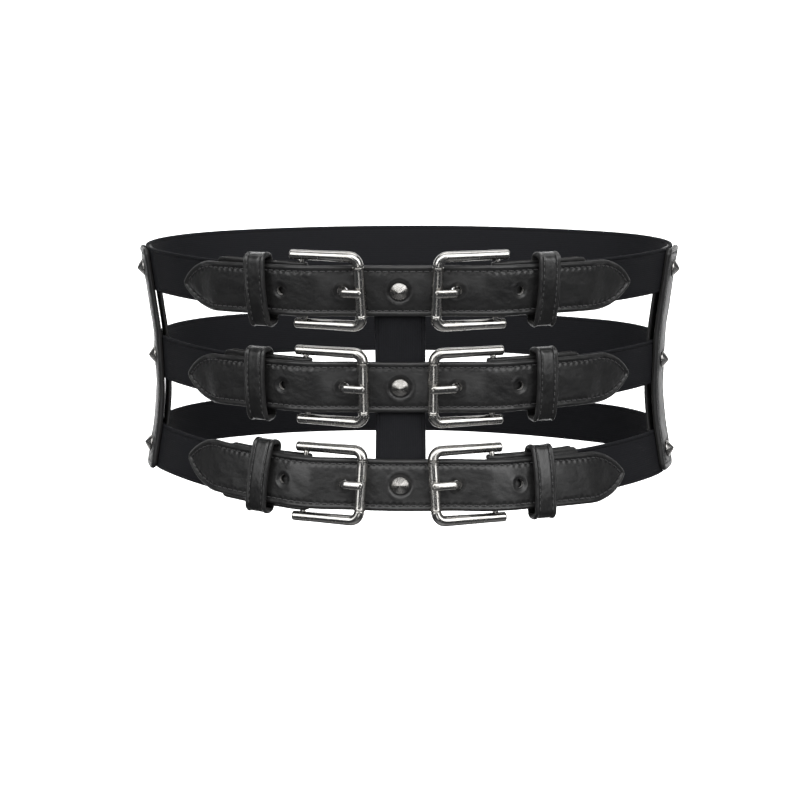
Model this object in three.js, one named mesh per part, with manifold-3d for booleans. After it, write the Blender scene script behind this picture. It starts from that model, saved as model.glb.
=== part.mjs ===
// Waist belt of three buckled rows. Each row is a pointed front strap that two roller buckles hold,
// and an elastic band that runs from one buckle round the back to the other. A vertical strap behind
// the front straps and a doubled strap at each side join the rows, with a cone stud at each crossing.
// Millimetres, +Z up, -Y the front, +X the right as seen from the front.
// The origin is the centre of the waist hollow, level with the middle row.

import * as THREE from 'three';
import { mergeVertices } from 'three/addons/utils/BufferGeometryUtils.js';
import Module from 'manifold-3d';

const wasm = await Module();
wasm.setup();

// Driving dimensions

const GAP = 0.3;

// Inner outline of the waist: a tall front arc, two side arcs and a flatter back arc
const WAIST = { halfWidth: 125.5, frontDepth: 100, backDepth: 84, sideRadius: 66 };

// How far the belt stands out from that outline at each height
const SWELL = [
  { z: -61, out: 7.4 },
  { z: -32, out: 2.4 },
  { z: -14, out: 0.8 },
  { z: 16, out: 2 },
  { z: 33, out: 4.4 },
  { z: 61, out: 8.2 },
];

const ROWS = [
  { name: 'upper', z: 47.3 },
  { name: 'middle', z: 0 },
  { name: 'lower', z: -47.3 },
];

// Each half row: where its roller, its keeper and the strap's tip lie along the strap from the
// front centre, and how far the band rises by the side and the strap by its tip
const HALVES = [
  { row: 'upper', side: -1, roller: 18.4, keeper: 69.8, tip: 122.7, bandRise: 1.4, tipRise: -1.5 },
  { row: 'upper', side: 1, roller: 17.8, keeper: 71.4, tip: 127.2, bandRise: 1.0, tipRise: -1.2 },
  { row: 'middle', side: -1, roller: 17.3, keeper: 71.6, tip: 123.5, bandRise: 3.0, tipRise: -1.0 },
  { row: 'middle', side: 1, roller: 15.8, keeper: 71.2, tip: 129.0, bandRise: 1.0, tipRise: -0.8 },
  { row: 'lower', side: -1, roller: 18.6, keeper: 70.2, tip: 123.4, bandRise: 4.0, tipRise: 5.2 },
  { row: 'lower', side: 1, roller: 16.4, keeper: 70.0, tip: 124.0, bandRise: 1.7, tipRise: -2.6 },
];
const SIDE_NAMES = new Map([[-1, 'left'], [1, 'right']]);

const STRAP = { width: 25, thickness: 2.6, pointLength: 24, pointBlunt: 1.5 };
const STRAP_HOLES = { prong: 29.4, prongLength: 9.2, prongWidth: 5.6, spare: 58, spareWidth: 4.2 };
const BAND = { width: 22.6, thickness: 1.4, start: 82, riseFrom: 40, riseTo: 145 };
const UPRIGHT = { width: 24, thickness: 2, top: 57, bottom: -57 };
const SIDE_STRAP = { width: 24, thickness: 2.6, backing: 1.4, top: 59.4, bottom: -55.5, arc: 161.5 };
const CHAPE = { width: 26.6, thickness: 1.4, length: 48.5, slack: 0.4, slot: 5.2, slotAhead: 4.6 };
const CHAPE_FALL = { from: 2, to: 14 };
const KEEPER = { length: 11.6, height: 36, thickness: 2.2, back: 1.1, corner: 3, innerCorner: 1.2, slack: 0.4 };
const BUCKLE = { wire: 4.6, opening: 29.4, bend: 4.5, tail: 5.3, core: 3.4, bar: 2.8, reach: 30.4 };
const ROLLER = { diameter: 5.6, length: 24.4 };
const PRONG = { width: 3.5, thickness: 2.4, tip: 2.2, eyeWall: 1.3, root: 2.4, dip: 2.3, crest: 2.9, overhang: 2.2 };
const STUD = { diameter: 8.5, rim: 0.6, height: 3, post: 2.4, cap: 6, capThickness: 0.8 };

// Levels above the waist outline, from the wearer outwards
const LEVEL = {};
LEVEL.bandInner = CHAPE.thickness + GAP;
LEVEL.bandOuter = LEVEL.bandInner + BAND.thickness;
LEVEL.flapInner = LEVEL.bandOuter + GAP;
LEVEL.flapOuter = LEVEL.flapInner + CHAPE.thickness;
LEVEL.foldRadius = BUCKLE.bar / 2 + CHAPE.slack + CHAPE.thickness / 2;
LEVEL.bar = LEVEL.foldRadius + CHAPE.thickness / 2;
LEVEL.strapCentre = UPRIGHT.thickness + GAP;
LEVEL.strapBar = 2 * LEVEL.bar + GAP;
LEVEL.strapFlap = LEVEL.flapOuter + GAP;
LEVEL.strapTip = LEVEL.bandOuter + 2 * GAP;
LEVEL.roller = LEVEL.strapCentre + STRAP.thickness + GAP + ROLLER.diameter / 2;

// Materials

const leather = new THREE.MeshStandardMaterial({ color: 0x1c1c1e, roughness: 0.45, metalness: 0 });
const elastic = new THREE.MeshStandardMaterial({ color: 0x23242a, roughness: 0.8, metalness: 0 });
const nickel = new THREE.MeshStandardMaterial({ color: 0xc9c7c2, roughness: 0.15, metalness: 1 });

const belt = new THREE.Group();

function add(name, geometry, material, group = belt) {
  const mesh = new THREE.Mesh(geometry, material);
  mesh.name = name;
  group.add(mesh);
  return mesh;
}

// The waist outline as arcs that meet smoothly

const sideCentre = WAIST.halfWidth - WAIST.sideRadius;

function endArc(depth) {
  const r = WAIST.sideRadius;
  const radius = (sideCentre ** 2 + depth ** 2 - r ** 2) / (2 * (depth - r));
  const angle = Math.atan2(sideCentre, radius - depth);
  return { radius, angle, length: radius * angle, centre: radius - depth };
}

const FRONT = endArc(WAIST.frontDepth);
const BACK = endArc(WAIST.backDepth);
const sideLength = WAIST.sideRadius * (Math.PI - FRONT.angle - BACK.angle);
const halfLoop = FRONT.length + sideLength + BACK.length;

function swell(z) {
  const last = SWELL.length - 2;
  const next = SWELL.slice(1, -1).findIndex((row) => z < row.z);
  const index = next < 0 ? last : next;
  const low = SWELL[index];
  const high = SWELL[index + 1];
  return low.out + ((z - low.z) / (high.z - low.z)) * (high.out - low.out);
}

// The point at an arc length from the front centre, positive to the right, a height above the
// outline and a level z
function place(arc, height, z) {
  const lap = THREE.MathUtils.euclideanModulo(arc + halfLoop, 2 * halfLoop) - halfLoop;
  const side = lap < 0 ? -1 : 1;
  const run = Math.abs(lap);
  let angle = run / FRONT.radius;
  let radius = FRONT.radius;
  let centre = [0, FRONT.centre];
  if (run > FRONT.length + sideLength) {
    angle = Math.PI - (halfLoop - run) / BACK.radius;
    radius = BACK.radius;
    centre = [0, -BACK.centre];
  } else if (run > FRONT.length) {
    angle = FRONT.angle + (run - FRONT.length) / WAIST.sideRadius;
    radius = WAIST.sideRadius;
    centre = [side * sideCentre, 0];
  }
  const reach = radius + height + swell(z);
  return new THREE.Vector3(centre[0] + side * reach * Math.sin(angle), centre[1] - reach * Math.cos(angle), z);
}

// The lines that a row's strap and band follow. Lengths along the front are measured on the strap.

function rowOf(half) {
  return ROWS.find((row) => row.name === half.row);
}

function halfOf(row, side) {
  return HALVES.find((half) => half.row === row.name && half.side === side);
}

function strapStretch(row) {
  return 1 + (LEVEL.strapFlap + swell(row.z)) / FRONT.radius;
}

function strapPlace(row, along, height, across) {
  const half = halfOf(row, along < 0 ? -1 : 1);
  const rise = half.tipRise * (along / half.tip) ** 2;
  return place(along / strapStretch(row), height, row.z + rise + across);
}

function bandRise(row, arc) {
  const lap = THREE.MathUtils.euclideanModulo(arc + halfLoop, 2 * halfLoop) - halfLoop;
  const own = halfOf(row, lap < 0 ? -1 : 1).bandRise;
  const mean = (halfOf(row, -1).bandRise + halfOf(row, 1).bandRise) / 2;
  const out = THREE.MathUtils.smoothstep(Math.abs(lap), BAND.riseFrom, BAND.riseTo);
  const round = THREE.MathUtils.smoothstep(Math.abs(lap), FRONT.length + sideLength, halfLoop);
  return THREE.MathUtils.lerp(own * out, mean, round);
}

function bandPlace(row, arc, height, across) {
  return place(arc, height, row.z + bandRise(row, arc) + across);
}

function chapePlace(row, along, height, across) {
  return bandPlace(row, along / strapStretch(row), height, across);
}

// Inner face of the front strap: over the upright, under the roller, over the pivot bar and the
// chape, and down to the band
function strapLevel(along) {
  const steps = [
    { from: 22, to: 45, rise: LEVEL.strapBar - LEVEL.strapCentre },
    { from: 52, to: 65, rise: LEVEL.strapFlap - LEVEL.strapBar },
    { from: 97, to: 109, rise: LEVEL.strapTip - LEVEL.strapFlap },
  ];
  const run = Math.abs(along);
  const risen = steps.map((step) => step.rise * THREE.MathUtils.smoothstep(run, step.from, step.to));
  return LEVEL.strapCentre + risen.reduce((sum, part) => sum + part, 0);
}

// Shaping helpers

// Moves each vertex of a closed geometry to the point that lay gives for it
function bend(geometry, lay) {
  geometry.deleteAttribute('normal');
  geometry.deleteAttribute('uv');
  const merged = mergeVertices(geometry, 1e-4);
  const position = merged.attributes.position;
  for (let i = 0; i < position.count; i += 1) {
    const point = lay(position.getX(i), position.getY(i), position.getZ(i));
    position.setXYZ(i, point.x, point.y, point.z);
  }
  merged.computeVertexNormals();
  return merged;
}

// A strip: x counts along its stations from 0, y runs across from -1 to 1, z outwards from 0 to 1
function strip(steps, stepsAcross, lay) {
  const box = new THREE.BoxGeometry(steps, 2, 1, steps, stepsAcross, 1);
  box.translate(steps / 2, 0, 0.5);
  return bend(box, (x, y, z) => lay(Math.round(x), y, z));
}

function solidOf(geometry) {
  const bare = geometry.clone();
  bare.deleteAttribute('normal');
  bare.deleteAttribute('uv');
  const merged = mergeVertices(bare, 1e-4);
  const vertProperties = new Float32Array(merged.attributes.position.array);
  const triVerts = new Uint32Array(merged.index.array);
  return new wasm.Manifold(new wasm.Mesh({ numProp: 3, vertProperties, triVerts }));
}

function geometryOf(solid) {
  const mesh = solid.getMesh();
  const geometry = new THREE.BufferGeometry();
  geometry.setAttribute('position', new THREE.BufferAttribute(mesh.vertProperties, 3));
  geometry.setIndex(new THREE.BufferAttribute(mesh.triVerts, 1));
  geometry.computeVertexNormals();
  return geometry;
}

function cut(geometry, tools) {
  const solid = tools.reduce((body, tool) => body.subtract(solidOf(tool)), solidOf(geometry));
  return geometryOf(solid);
}

function join(...geometries) {
  return geometryOf(geometries.map(solidOf).reduce((body, part) => body.add(part)));
}

// A frame on the belt: X away from the front centre, Z straight out
function seat(lay, at, height, side) {
  const step = 0.5;
  const origin = lay(at, height, 0);
  const ahead = lay(at + step, height, 0).sub(lay(at - step, height, 0)).multiplyScalar(side);
  const across = lay(at, height, step).sub(lay(at, height, -step)).multiplyScalar(side);
  return basis(origin, ahead, across);
}

function basis(origin, ahead, across) {
  const x = ahead.clone().normalize();
  const z = x.clone().cross(across).normalize();
  const y = z.clone().cross(x);
  return new THREE.Matrix4().makeBasis(x, y, z).setPosition(origin);
}

function groupAt(matrix) {
  const group = new THREE.Group();
  group.applyMatrix4(matrix);
  belt.add(group);
  return group;
}

// A long hole's cutter, lying along X and reaching both ways along Z
function slotCutter(length, width, matrix) {
  const depth = 16;
  const shape = new THREE.Shape();
  const half = Math.max(length - width, 0) / 2;
  shape.absarc(half, 0, width / 2, -Math.PI / 2, Math.PI / 2);
  shape.absarc(-half, 0, width / 2, Math.PI / 2, Math.PI * 1.5);
  const cutter = new THREE.ExtrudeGeometry(shape, { depth, bevelEnabled: false, curveSegments: 2 });
  cutter.translate(0, 0, -depth / 2);
  return cutter.applyMatrix4(matrix);
}

function postCutter(matrix) {
  const width = STUD.post + 2 * GAP;
  return slotCutter(width, width, matrix);
}

// Front straps

// The pointed end's stations from its shoulder outwards: two arcs that meet at a blunt point
function pointStations(shoulder) {
  const steps = 5;
  const half = STRAP.width / 2;
  const fall = half - STRAP.pointBlunt;
  const radius = (STRAP.pointLength ** 2 + fall ** 2) / (2 * fall);
  const sweep = Math.asin(STRAP.pointLength / radius);
  const stations = [];
  for (let i = 1; i <= steps; i += 1) {
    const angle = (sweep * i) / steps;
    stations.push({ along: shoulder + radius * Math.sin(angle), half: half - radius * (1 - Math.cos(angle)) });
  }
  return stations;
}

function strapStations(row) {
  const straightSteps = 26;
  const [left, right] = [-1, 1].map((side) => halfOf(row, side).tip - STRAP.pointLength);
  const straight = [];
  for (let i = 0; i <= straightSteps; i += 1) {
    const along = THREE.MathUtils.lerp(-left, right, i / straightSteps);
    straight.push({ along, half: STRAP.width / 2 });
  }
  const leftPoint = pointStations(left).map((station) => ({ ...station, along: -station.along })).reverse();
  return [...leftPoint, ...straight, ...pointStations(right)];
}

function frontStrap(row) {
  const stations = strapStations(row);
  const body = strip(stations.length - 1, 1, (index, across, out) => {
    const station = stations[index];
    const height = strapLevel(station.along) + out * STRAP.thickness;
    return strapPlace(row, station.along, height, across * station.half);
  });
  const lay = (along, height, across) => strapPlace(row, along, height, across);
  const tools = [postCutter(centreStudSeat(row))];
  for (const side of [-1, 1]) {
    const prongSeat = seat(lay, side * STRAP_HOLES.prong, strapLevel(STRAP_HOLES.prong), side);
    const spareSeat = seat(lay, side * STRAP_HOLES.spare, strapLevel(STRAP_HOLES.spare), side);
    tools.push(slotCutter(STRAP_HOLES.prongLength, STRAP_HOLES.prongWidth, prongSeat));
    tools.push(slotCutter(STRAP_HOLES.spareWidth, STRAP_HOLES.spareWidth, spareSeat));
  }
  return cut(body, tools);
}

// Elastic bands, from one chape round the back to the other

function elasticBand(row) {
  const steps = 54;
  const start = BAND.start / strapStretch(row);
  const length = 2 * (halfLoop - start);
  const body = strip(steps, 1, (index, across, out) => {
    const arc = start + (length * index) / steps;
    return bandPlace(row, arc, LEVEL.bandInner + out * BAND.thickness, (across * BAND.width) / 2);
  });
  return cut(body, [-1, 1].map((side) => postCutter(sideStudSeat(row, side))));
}

function centreStudSeat(row) {
  const lay = (along, height, across) => strapPlace(row, along, height, across);
  return seat(lay, 0, LEVEL.strapCentre + STRAP.thickness, 1);
}

function sideStudSeat(row, side) {
  const lay = (arc, height, across) => bandPlace(row, arc, height, across);
  return seat(lay, side * SIDE_STRAP.arc, LEVEL.flapInner + SIDE_STRAP.thickness, side);
}

// Upright straps: one behind the front straps, and one over and one under the bands at each side

function uprightStrip(arc, strap, inner, thickness) {
  const stepsAcross = 3;
  const turns = SWELL.map((row) => row.z).filter((z) => z > strap.bottom && z < strap.top);
  const stations = [strap.bottom, ...turns, strap.top];
  const box = new THREE.BoxGeometry(2, stations.length - 1, 1, stepsAcross, stations.length - 1, 1);
  box.translate(0, (stations.length - 1) / 2, 0.5);
  const radius = Math.abs(arc) < FRONT.length ? FRONT.radius : WAIST.sideRadius;
  const stretch = 1 + (inner + thickness / 2) / radius;
  return bend(box, (x, y, z) => {
    const level = stations[Math.round(y)];
    return place(arc + (x * strap.width) / 2 / stretch, inner + z * thickness, level);
  });
}

function centreUpright() {
  const tools = ROWS.map((row) => postCutter(centreStudSeat(row)));
  return cut(uprightStrip(0, UPRIGHT, 0, UPRIGHT.thickness), tools);
}

function sideUpright(side, inner, thickness) {
  const body = uprightStrip(side * SIDE_STRAP.arc, SIDE_STRAP, inner, thickness);
  return cut(body, ROWS.map((row) => postCutter(sideStudSeat(row, side))));
}

// Cone studs: a cone on the leather, a post through the layers and a flat cap behind them

function studGeometry(depth) {
  const radius = STUD.diameter / 2;
  const behind = -depth - GAP;
  const profile = [
    new THREE.Vector2(0, behind - STUD.capThickness),
    new THREE.Vector2(STUD.cap / 2, behind - STUD.capThickness),
    new THREE.Vector2(STUD.cap / 2, behind),
    new THREE.Vector2(STUD.post / 2, behind),
    new THREE.Vector2(STUD.post / 2, GAP),
    new THREE.Vector2(radius, GAP),
    new THREE.Vector2(radius, GAP + STUD.rim),
    new THREE.Vector2(0, GAP + STUD.height),
  ];
  return new THREE.LatheGeometry(profile, 10).rotateX(Math.PI / 2);
}

// Chapes: the leather end of a band, folded round the pivot bar with a slot for the prong's eye

function foldStations(bar) {
  const flapSteps = 6;
  const bendSteps = 5;
  const end = bar + CHAPE.length;
  const inner = CHAPE.thickness / 2;
  const outer = LEVEL.flapInner + CHAPE.thickness / 2;
  const top = LEVEL.bar + LEVEL.foldRadius;
  const stations = [];
  for (let i = 0; i < flapSteps; i += 1) {
    const along = end - (CHAPE.length * i) / flapSteps;
    const fall = THREE.MathUtils.smoothstep(along, bar + CHAPE_FALL.from, bar + CHAPE_FALL.to);
    stations.push({ along, height: THREE.MathUtils.lerp(top, outer, fall) });
  }
  for (let i = 0; i <= bendSteps; i += 1) {
    const angle = (Math.PI * i) / bendSteps;
    const along = bar - LEVEL.foldRadius * Math.sin(angle);
    stations.push({ along, height: LEVEL.bar + LEVEL.foldRadius * Math.cos(angle) });
  }
  for (let i = 1; i <= flapSteps; i += 1) {
    stations.push({ along: bar + (CHAPE.length * i) / flapSteps, height: inner });
  }
  return stations;
}

function chape(half, buckleMatrix) {
  const row = rowOf(half);
  const stations = foldStations(barAlong(half));
  const body = strip(stations.length - 1, 1, (index, across, out) => {
    const before = stations[Math.max(index - 1, 0)];
    const after = stations[Math.min(index + 1, stations.length - 1)];
    const run = new THREE.Vector2(after.along - before.along, after.height - before.height).normalize();
    const lift = (out - 0.5) * CHAPE.thickness;
    const along = stations[index].along - run.y * lift;
    const height = stations[index].height + run.x * lift;
    return chapePlace(row, half.side * along, height, (half.side * across * CHAPE.width) / 2);
  });
  const length = CHAPE.slotAhead + 2 * LEVEL.bar;
  const slot = new THREE.BoxGeometry(length, CHAPE.slot, 4 * LEVEL.bar);
  slot.translate(CHAPE.slotAhead - length / 2, 0, 0).applyMatrix4(buckleMatrix);
  return cut(body, [slot]);
}

// Buckles. X runs from the roller to the pivot bar at the origin and on to the legs' cut ends.

function barAlong(half) {
  const lean = LEVEL.roller - LEVEL.bar;
  return half.roller + Math.sqrt(BUCKLE.reach ** 2 - lean ** 2);
}

function buckleMatrixOf(half) {
  const row = rowOf(half);
  const bar = chapePlace(row, half.side * barAlong(half), LEVEL.bar, 0);
  const roller = strapPlace(row, half.side * half.roller, LEVEL.roller, 0);
  const above = chapePlace(row, half.side * barAlong(half), LEVEL.bar, half.side);
  return basis(bar, bar.clone().sub(roller), above.sub(bar));
}

// The bent wire's stations from one leg's cut end round both corners to the other
function wireStations() {
  const cornerSteps = 4;
  const legY = (BUCKLE.opening + BUCKLE.wire) / 2;
  const cornerX = -BUCKLE.reach + BUCKLE.bend;
  const wire = BUCKLE.wire / 2;
  const core = BUCKLE.core / 2;
  const stations = [{ x: BUCKLE.tail, y: -legY, heading: Math.PI, radius: wire }];
  for (let i = 0; i <= cornerSteps; i += 1) {
    const turn = (Math.PI / 2) * (i / cornerSteps);
    const x = cornerX - BUCKLE.bend * Math.sin(turn);
    const y = -legY + BUCKLE.bend * (1 - Math.cos(turn));
    stations.push({ x, y, heading: Math.PI - turn, radius: wire });
  }
  stations.push({ x: -BUCKLE.reach, y: -legY + BUCKLE.bend, heading: Math.PI / 2, radius: core });
  const mirrored = stations.map((s) => ({ x: s.x, y: -s.y, heading: Math.PI - s.heading, radius: s.radius }));
  return [...stations, ...mirrored.reverse()];
}

function buckleFrame() {
  const sides = 8;
  const stations = wireStations();
  const steps = stations.length - 1;
  const rod = new THREE.CylinderGeometry(1, 1, steps, sides, steps).translate(0, steps / 2, 0);
  const wire = bend(rod, (x, y, z) => {
    const s = stations[Math.round(y)];
    const offset = x * s.radius;
    const turn = s.heading;
    return new THREE.Vector3(s.x - Math.sin(turn) * offset, s.y + Math.cos(turn) * offset, -z * s.radius);
  });
  const bar = new THREE.CylinderGeometry(BUCKLE.bar / 2, BUCKLE.bar / 2, BUCKLE.opening + BUCKLE.wire, 8);
  return join(wire, bar);
}

function rollerTube() {
  const inner = BUCKLE.core / 2 + GAP;
  const outer = ROLLER.diameter / 2;
  const end = ROLLER.length / 2;
  const profile = [
    new THREE.Vector2(inner, -end),
    new THREE.Vector2(outer, -end),
    new THREE.Vector2(outer, end),
    new THREE.Vector2(inner, end),
    new THREE.Vector2(inner, -end),
  ];
  return new THREE.LatheGeometry(profile, 12).translate(-BUCKLE.reach, 0, 0);
}

// Prong: an eye round the pivot bar and an arm that dips under the strap, comes up through its hole
// and rests on the roller. Its side outline is cut from a flat bar.
function prong(half) {
  const hole = -(barAlong(half) - STRAP_HOLES.prong);
  const rest = ROLLER.diameter / 2 + GAP + PRONG.tip / 2;
  const route = new THREE.SplineCurve([
    new THREE.Vector2(-PRONG.root, -0.25 * PRONG.dip),
    new THREE.Vector2(-3 * PRONG.root, -0.6 * PRONG.dip),
    new THREE.Vector2(hole + PRONG.root, -PRONG.dip),
    new THREE.Vector2(hole, 0.4 * PRONG.dip),
    new THREE.Vector2((hole - BUCKLE.reach) / 2, PRONG.crest),
    new THREE.Vector2(-BUCKLE.reach, rest),
    new THREE.Vector2(-BUCKLE.reach - PRONG.overhang, rest),
  ]);
  const steps = 9;
  const upper = [];
  const lower = [];
  for (let i = 0; i <= steps; i += 1) {
    const at = route.getPoint(i / steps);
    const run = route.getTangent(i / steps);
    const taper = THREE.MathUtils.lerp(PRONG.thickness, PRONG.tip, i / steps) / 2;
    upper.push(new THREE.Vector2(at.x - run.y * taper, at.y + run.x * taper));
    lower.push(new THREE.Vector2(at.x + run.y * taper, at.y - run.x * taper));
  }
  const arm = flatBar(new THREE.Shape([...upper, ...lower.reverse()]));
  const ring = new THREE.Shape();
  const bore = new THREE.Path();
  const inner = BUCKLE.bar / 2 + GAP;
  ring.absarc(0, 0, inner + PRONG.eyeWall, 0, 2 * Math.PI);
  bore.absarc(0, 0, inner, 0, 2 * Math.PI);
  ring.holes.push(bore);
  return join(arm, flatBar(ring));
}

// A shape in the plane of X and Z, made as thick as the prong along Y
function flatBar(shape) {
  const bar = new THREE.ExtrudeGeometry(shape, { depth: PRONG.width, bevelEnabled: false, curveSegments: 4 });
  return bar.translate(0, 0, -PRONG.width / 2).rotateX(Math.PI / 2);
}

// Keepers: a closed loop that passes between the chape's two leaves and over the strap

function roundedBox(path, left, right, bottom, top, radius) {
  path.absarc(right - radius, top - radius, radius, 0, Math.PI / 2);
  path.absarc(left + radius, top - radius, radius, Math.PI / 2, Math.PI);
  path.absarc(left + radius, bottom + radius, radius, Math.PI, Math.PI * 1.5);
  path.absarc(right - radius, bottom + radius, radius, Math.PI * 1.5, Math.PI * 2);
  return path;
}

function keeperLoop() {
  const half = KEEPER.height / 2;
  const floor = LEVEL.bandInner + (BAND.thickness - KEEPER.back) / 2;
  const roof = LEVEL.strapFlap + STRAP.thickness + KEEPER.slack + KEEPER.thickness;
  const loop = roundedBox(new THREE.Shape(), -half, half, floor, roof, KEEPER.corner);
  const wall = KEEPER.thickness;
  const innerFloor = floor + KEEPER.back;
  const hole = roundedBox(new THREE.Path(), wall - half, half - wall, innerFloor, roof - wall, KEEPER.innerCorner);
  loop.holes.push(hole);
  const options = { depth: KEEPER.length, bevelEnabled: false, curveSegments: 2 };
  const body = new THREE.ExtrudeGeometry(loop, options).translate(0, 0, -KEEPER.length / 2);
  return body.rotateY(Math.PI / 2).rotateX(Math.PI / 2).translate(0, 0, -LEVEL.flapOuter);
}

// Assembly

for (const row of ROWS) {
  add(`front_strap_${row.name}`, frontStrap(row), leather);
  add(`elastic_band_${row.name}`, elasticBand(row), elastic);
  const centreDepth = LEVEL.strapCentre + STRAP.thickness;
  add(`stud_${row.name}_centre`, studGeometry(centreDepth), nickel, groupAt(centreStudSeat(row)));
  for (const side of [-1, 1]) {
    const depth = LEVEL.flapInner + SIDE_STRAP.thickness;
    add(`stud_${row.name}_${SIDE_NAMES.get(side)}`, studGeometry(depth), nickel, groupAt(sideStudSeat(row, side)));
  }
}

for (const half of HALVES) {
  const where = `${half.row}_${SIDE_NAMES.get(half.side)}`;
  const matrix = buckleMatrixOf(half);
  const buckle = groupAt(matrix);
  add(`buckle_frame_${where}`, buckleFrame(), nickel, buckle);
  add(`roller_${where}`, rollerTube(), nickel, buckle);
  add(`prong_${where}`, prong(half), nickel, buckle);
  add(`chape_${where}`, chape(half, matrix), leather);
  const layStrap = (along, height, across) => strapPlace(rowOf(half), along, height, across);
  const keeperSeat = groupAt(seat(layStrap, half.side * half.keeper, LEVEL.flapOuter, half.side));
  add(`keeper_${where}`, keeperLoop(), leather, keeperSeat);
}

add('centre_strap', centreUpright(), elastic);
for (const side of [-1, 1]) {
  const name = SIDE_NAMES.get(side);
  add(`side_strap_${name}`, sideUpright(side, LEVEL.flapInner, SIDE_STRAP.thickness), leather);
  add(`side_backing_${name}`, sideUpright(side, 0, SIDE_STRAP.backing), leather);
}

export default belt;
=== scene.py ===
# %% [markdown]
# # A waist belt of three buckled rows
# The belt is held up in the shape that it has when it is worn. Every row is a pointed leather strap
# that two roller buckles hold, and an elastic band that runs round the back.
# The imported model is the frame: each piece below is built in its coordinates, over its own solid.

# %% The frame
import math
from functools import partial

import bpy
import numpy as np
from mathutils import Matrix, Vector


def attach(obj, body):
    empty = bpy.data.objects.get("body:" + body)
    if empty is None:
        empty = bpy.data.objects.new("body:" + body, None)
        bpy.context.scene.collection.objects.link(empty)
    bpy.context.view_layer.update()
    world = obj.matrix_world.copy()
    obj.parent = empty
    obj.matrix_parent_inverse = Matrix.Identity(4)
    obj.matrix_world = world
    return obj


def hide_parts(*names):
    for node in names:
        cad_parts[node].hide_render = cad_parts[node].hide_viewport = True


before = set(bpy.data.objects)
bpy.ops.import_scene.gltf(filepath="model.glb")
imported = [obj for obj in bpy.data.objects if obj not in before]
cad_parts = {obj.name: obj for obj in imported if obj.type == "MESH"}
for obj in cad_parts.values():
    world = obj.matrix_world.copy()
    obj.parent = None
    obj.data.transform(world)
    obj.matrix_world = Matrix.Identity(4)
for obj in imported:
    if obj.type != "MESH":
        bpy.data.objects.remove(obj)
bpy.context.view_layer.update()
MM = 0.001
print("nodes in the frame:", len(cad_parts))

# %% [markdown]
# ## The camera
# The photograph is taken from a little above the waist with a long lens, so the rows look almost
# parallel. The place and the lens come from a fit of the belt's corners to the photograph.

# %% The camera
STAND = {"azimuth": 2.31, "height": 188.9, "distance": 1300}
AIM = {"yaw": 0.21, "pitch": 9.27, "roll": -0.25}
LENS = {"length": 112.84, "sensor": 36, "near": 0.05}


def camera_matrix(azimuth, height, distance, yaw, pitch, roll):
    """Stands at distance and height off the belt's axis, and looks back along azimuth + yaw.
    Pitch tips the look down, and roll turns right and up round it."""
    azimuth, yaw, pitch, roll = (math.radians(angle) for angle in (azimuth, yaw, pitch, roll))
    heading = azimuth + yaw
    stand = Vector((distance * math.sin(azimuth), -distance * math.cos(azimuth), height)) * MM
    level = Vector((-math.sin(heading), math.cos(heading), 0))
    ahead = level * math.cos(pitch) - Vector((0, 0, math.sin(pitch)))
    right = Vector((math.cos(heading), math.sin(heading), 0))
    up = right.cross(ahead)
    turned_right = right * math.cos(roll) + up * math.sin(roll)
    turned_up = up * math.cos(roll) - right * math.sin(roll)
    return Matrix.Translation(stand) @ Matrix((turned_right, turned_up, -ahead)).transposed().to_4x4()


lens = bpy.data.cameras.new("camera")
lens.lens = LENS["length"]
lens.sensor_width = LENS["sensor"]
lens.clip_start = LENS["near"]
camera = bpy.data.objects.new("camera", lens)
bpy.context.scene.collection.objects.link(camera)
camera.matrix_world = camera_matrix(**STAND, **AIM)
bpy.context.scene.camera = camera
print("camera at", [round(v, 3) for v in camera.matrix_world.translation])

# %% [markdown]
# ## The sizes of the belt
# Most of these are the source's own numbers, in millimetres. The size and the place of the prong's hole
# and the prong's dip are this scene's own, as the stitches and the bow of the keepers further down are:
# only these meshes are fine enough to show them. Levels are counted from the wearer outwards, because
# each layer lies on the one under it.

# %% The sizes of the belt
GAP = 0.3
ROWS = {"upper": 47.3, "middle": 0.0, "lower": -47.3}
SIDES = {-1: "left", 1: "right"}
HALF_COLUMNS = ("roller", "keeper", "tip", "band_rise", "tip_rise")
HALVES = {
    ("upper", -1): (18.4, 69.8, 122.7, 1.4, -1.5),
    ("upper", 1): (17.8, 71.4, 127.2, 1.0, -1.2),
    ("middle", -1): (17.3, 71.6, 123.5, 3.0, -1.0),
    ("middle", 1): (15.8, 71.2, 129.0, 1.0, -0.8),
    ("lower", -1): (18.6, 70.2, 123.4, 4.0, 5.2),
    ("lower", 1): (16.4, 70.0, 124.0, 1.7, -2.6),
}
HALVES = {key: dict(zip(HALF_COLUMNS, values)) for key, values in HALVES.items()}
STRAP = {"width": 25, "thickness": 2.6, "point": 24, "blunt": 1.5, "nose": 3.0}
PRONG_HOLE = {"along": 27.6, "length": 4.6, "width": 4.3}
SPARE_HOLE = {"along": 58, "width": 4.2}
POST_HOLE = 3.0
BAND = {"width": 22.6, "thickness": 1.4, "start": 82, "rise_from": 40, "rise_to": 145}
UPRIGHT = {"width": 24, "thickness": 2.0, "top": 57, "bottom": -57}
SIDE_STRAP = {"width": 24, "thickness": 2.6, "top": 59.4, "bottom": -55.5, "arc": 161.5, "corner": 4}
BACKING = 1.4
CHAPE = {"width": 26.6, "thickness": 1.4, "length": 48.5, "slack": 0.4, "corner": 4}
CHAPE_SLOT = {"width": 5.2, "ahead": 4.6}
KEEPER = {"length": 11.6, "height": 36, "thickness": 2.2, "back": 1.1, "corner": 3, "slack": 0.4}
BUCKLE = {"wire": 4.6, "opening": 29.4, "bend": 4.5, "tail": 5.3, "core": 3.4, "bar": 2.8, "reach": 30.4}
ROLLER = {"diameter": 5.6, "length": 24.4}
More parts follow.
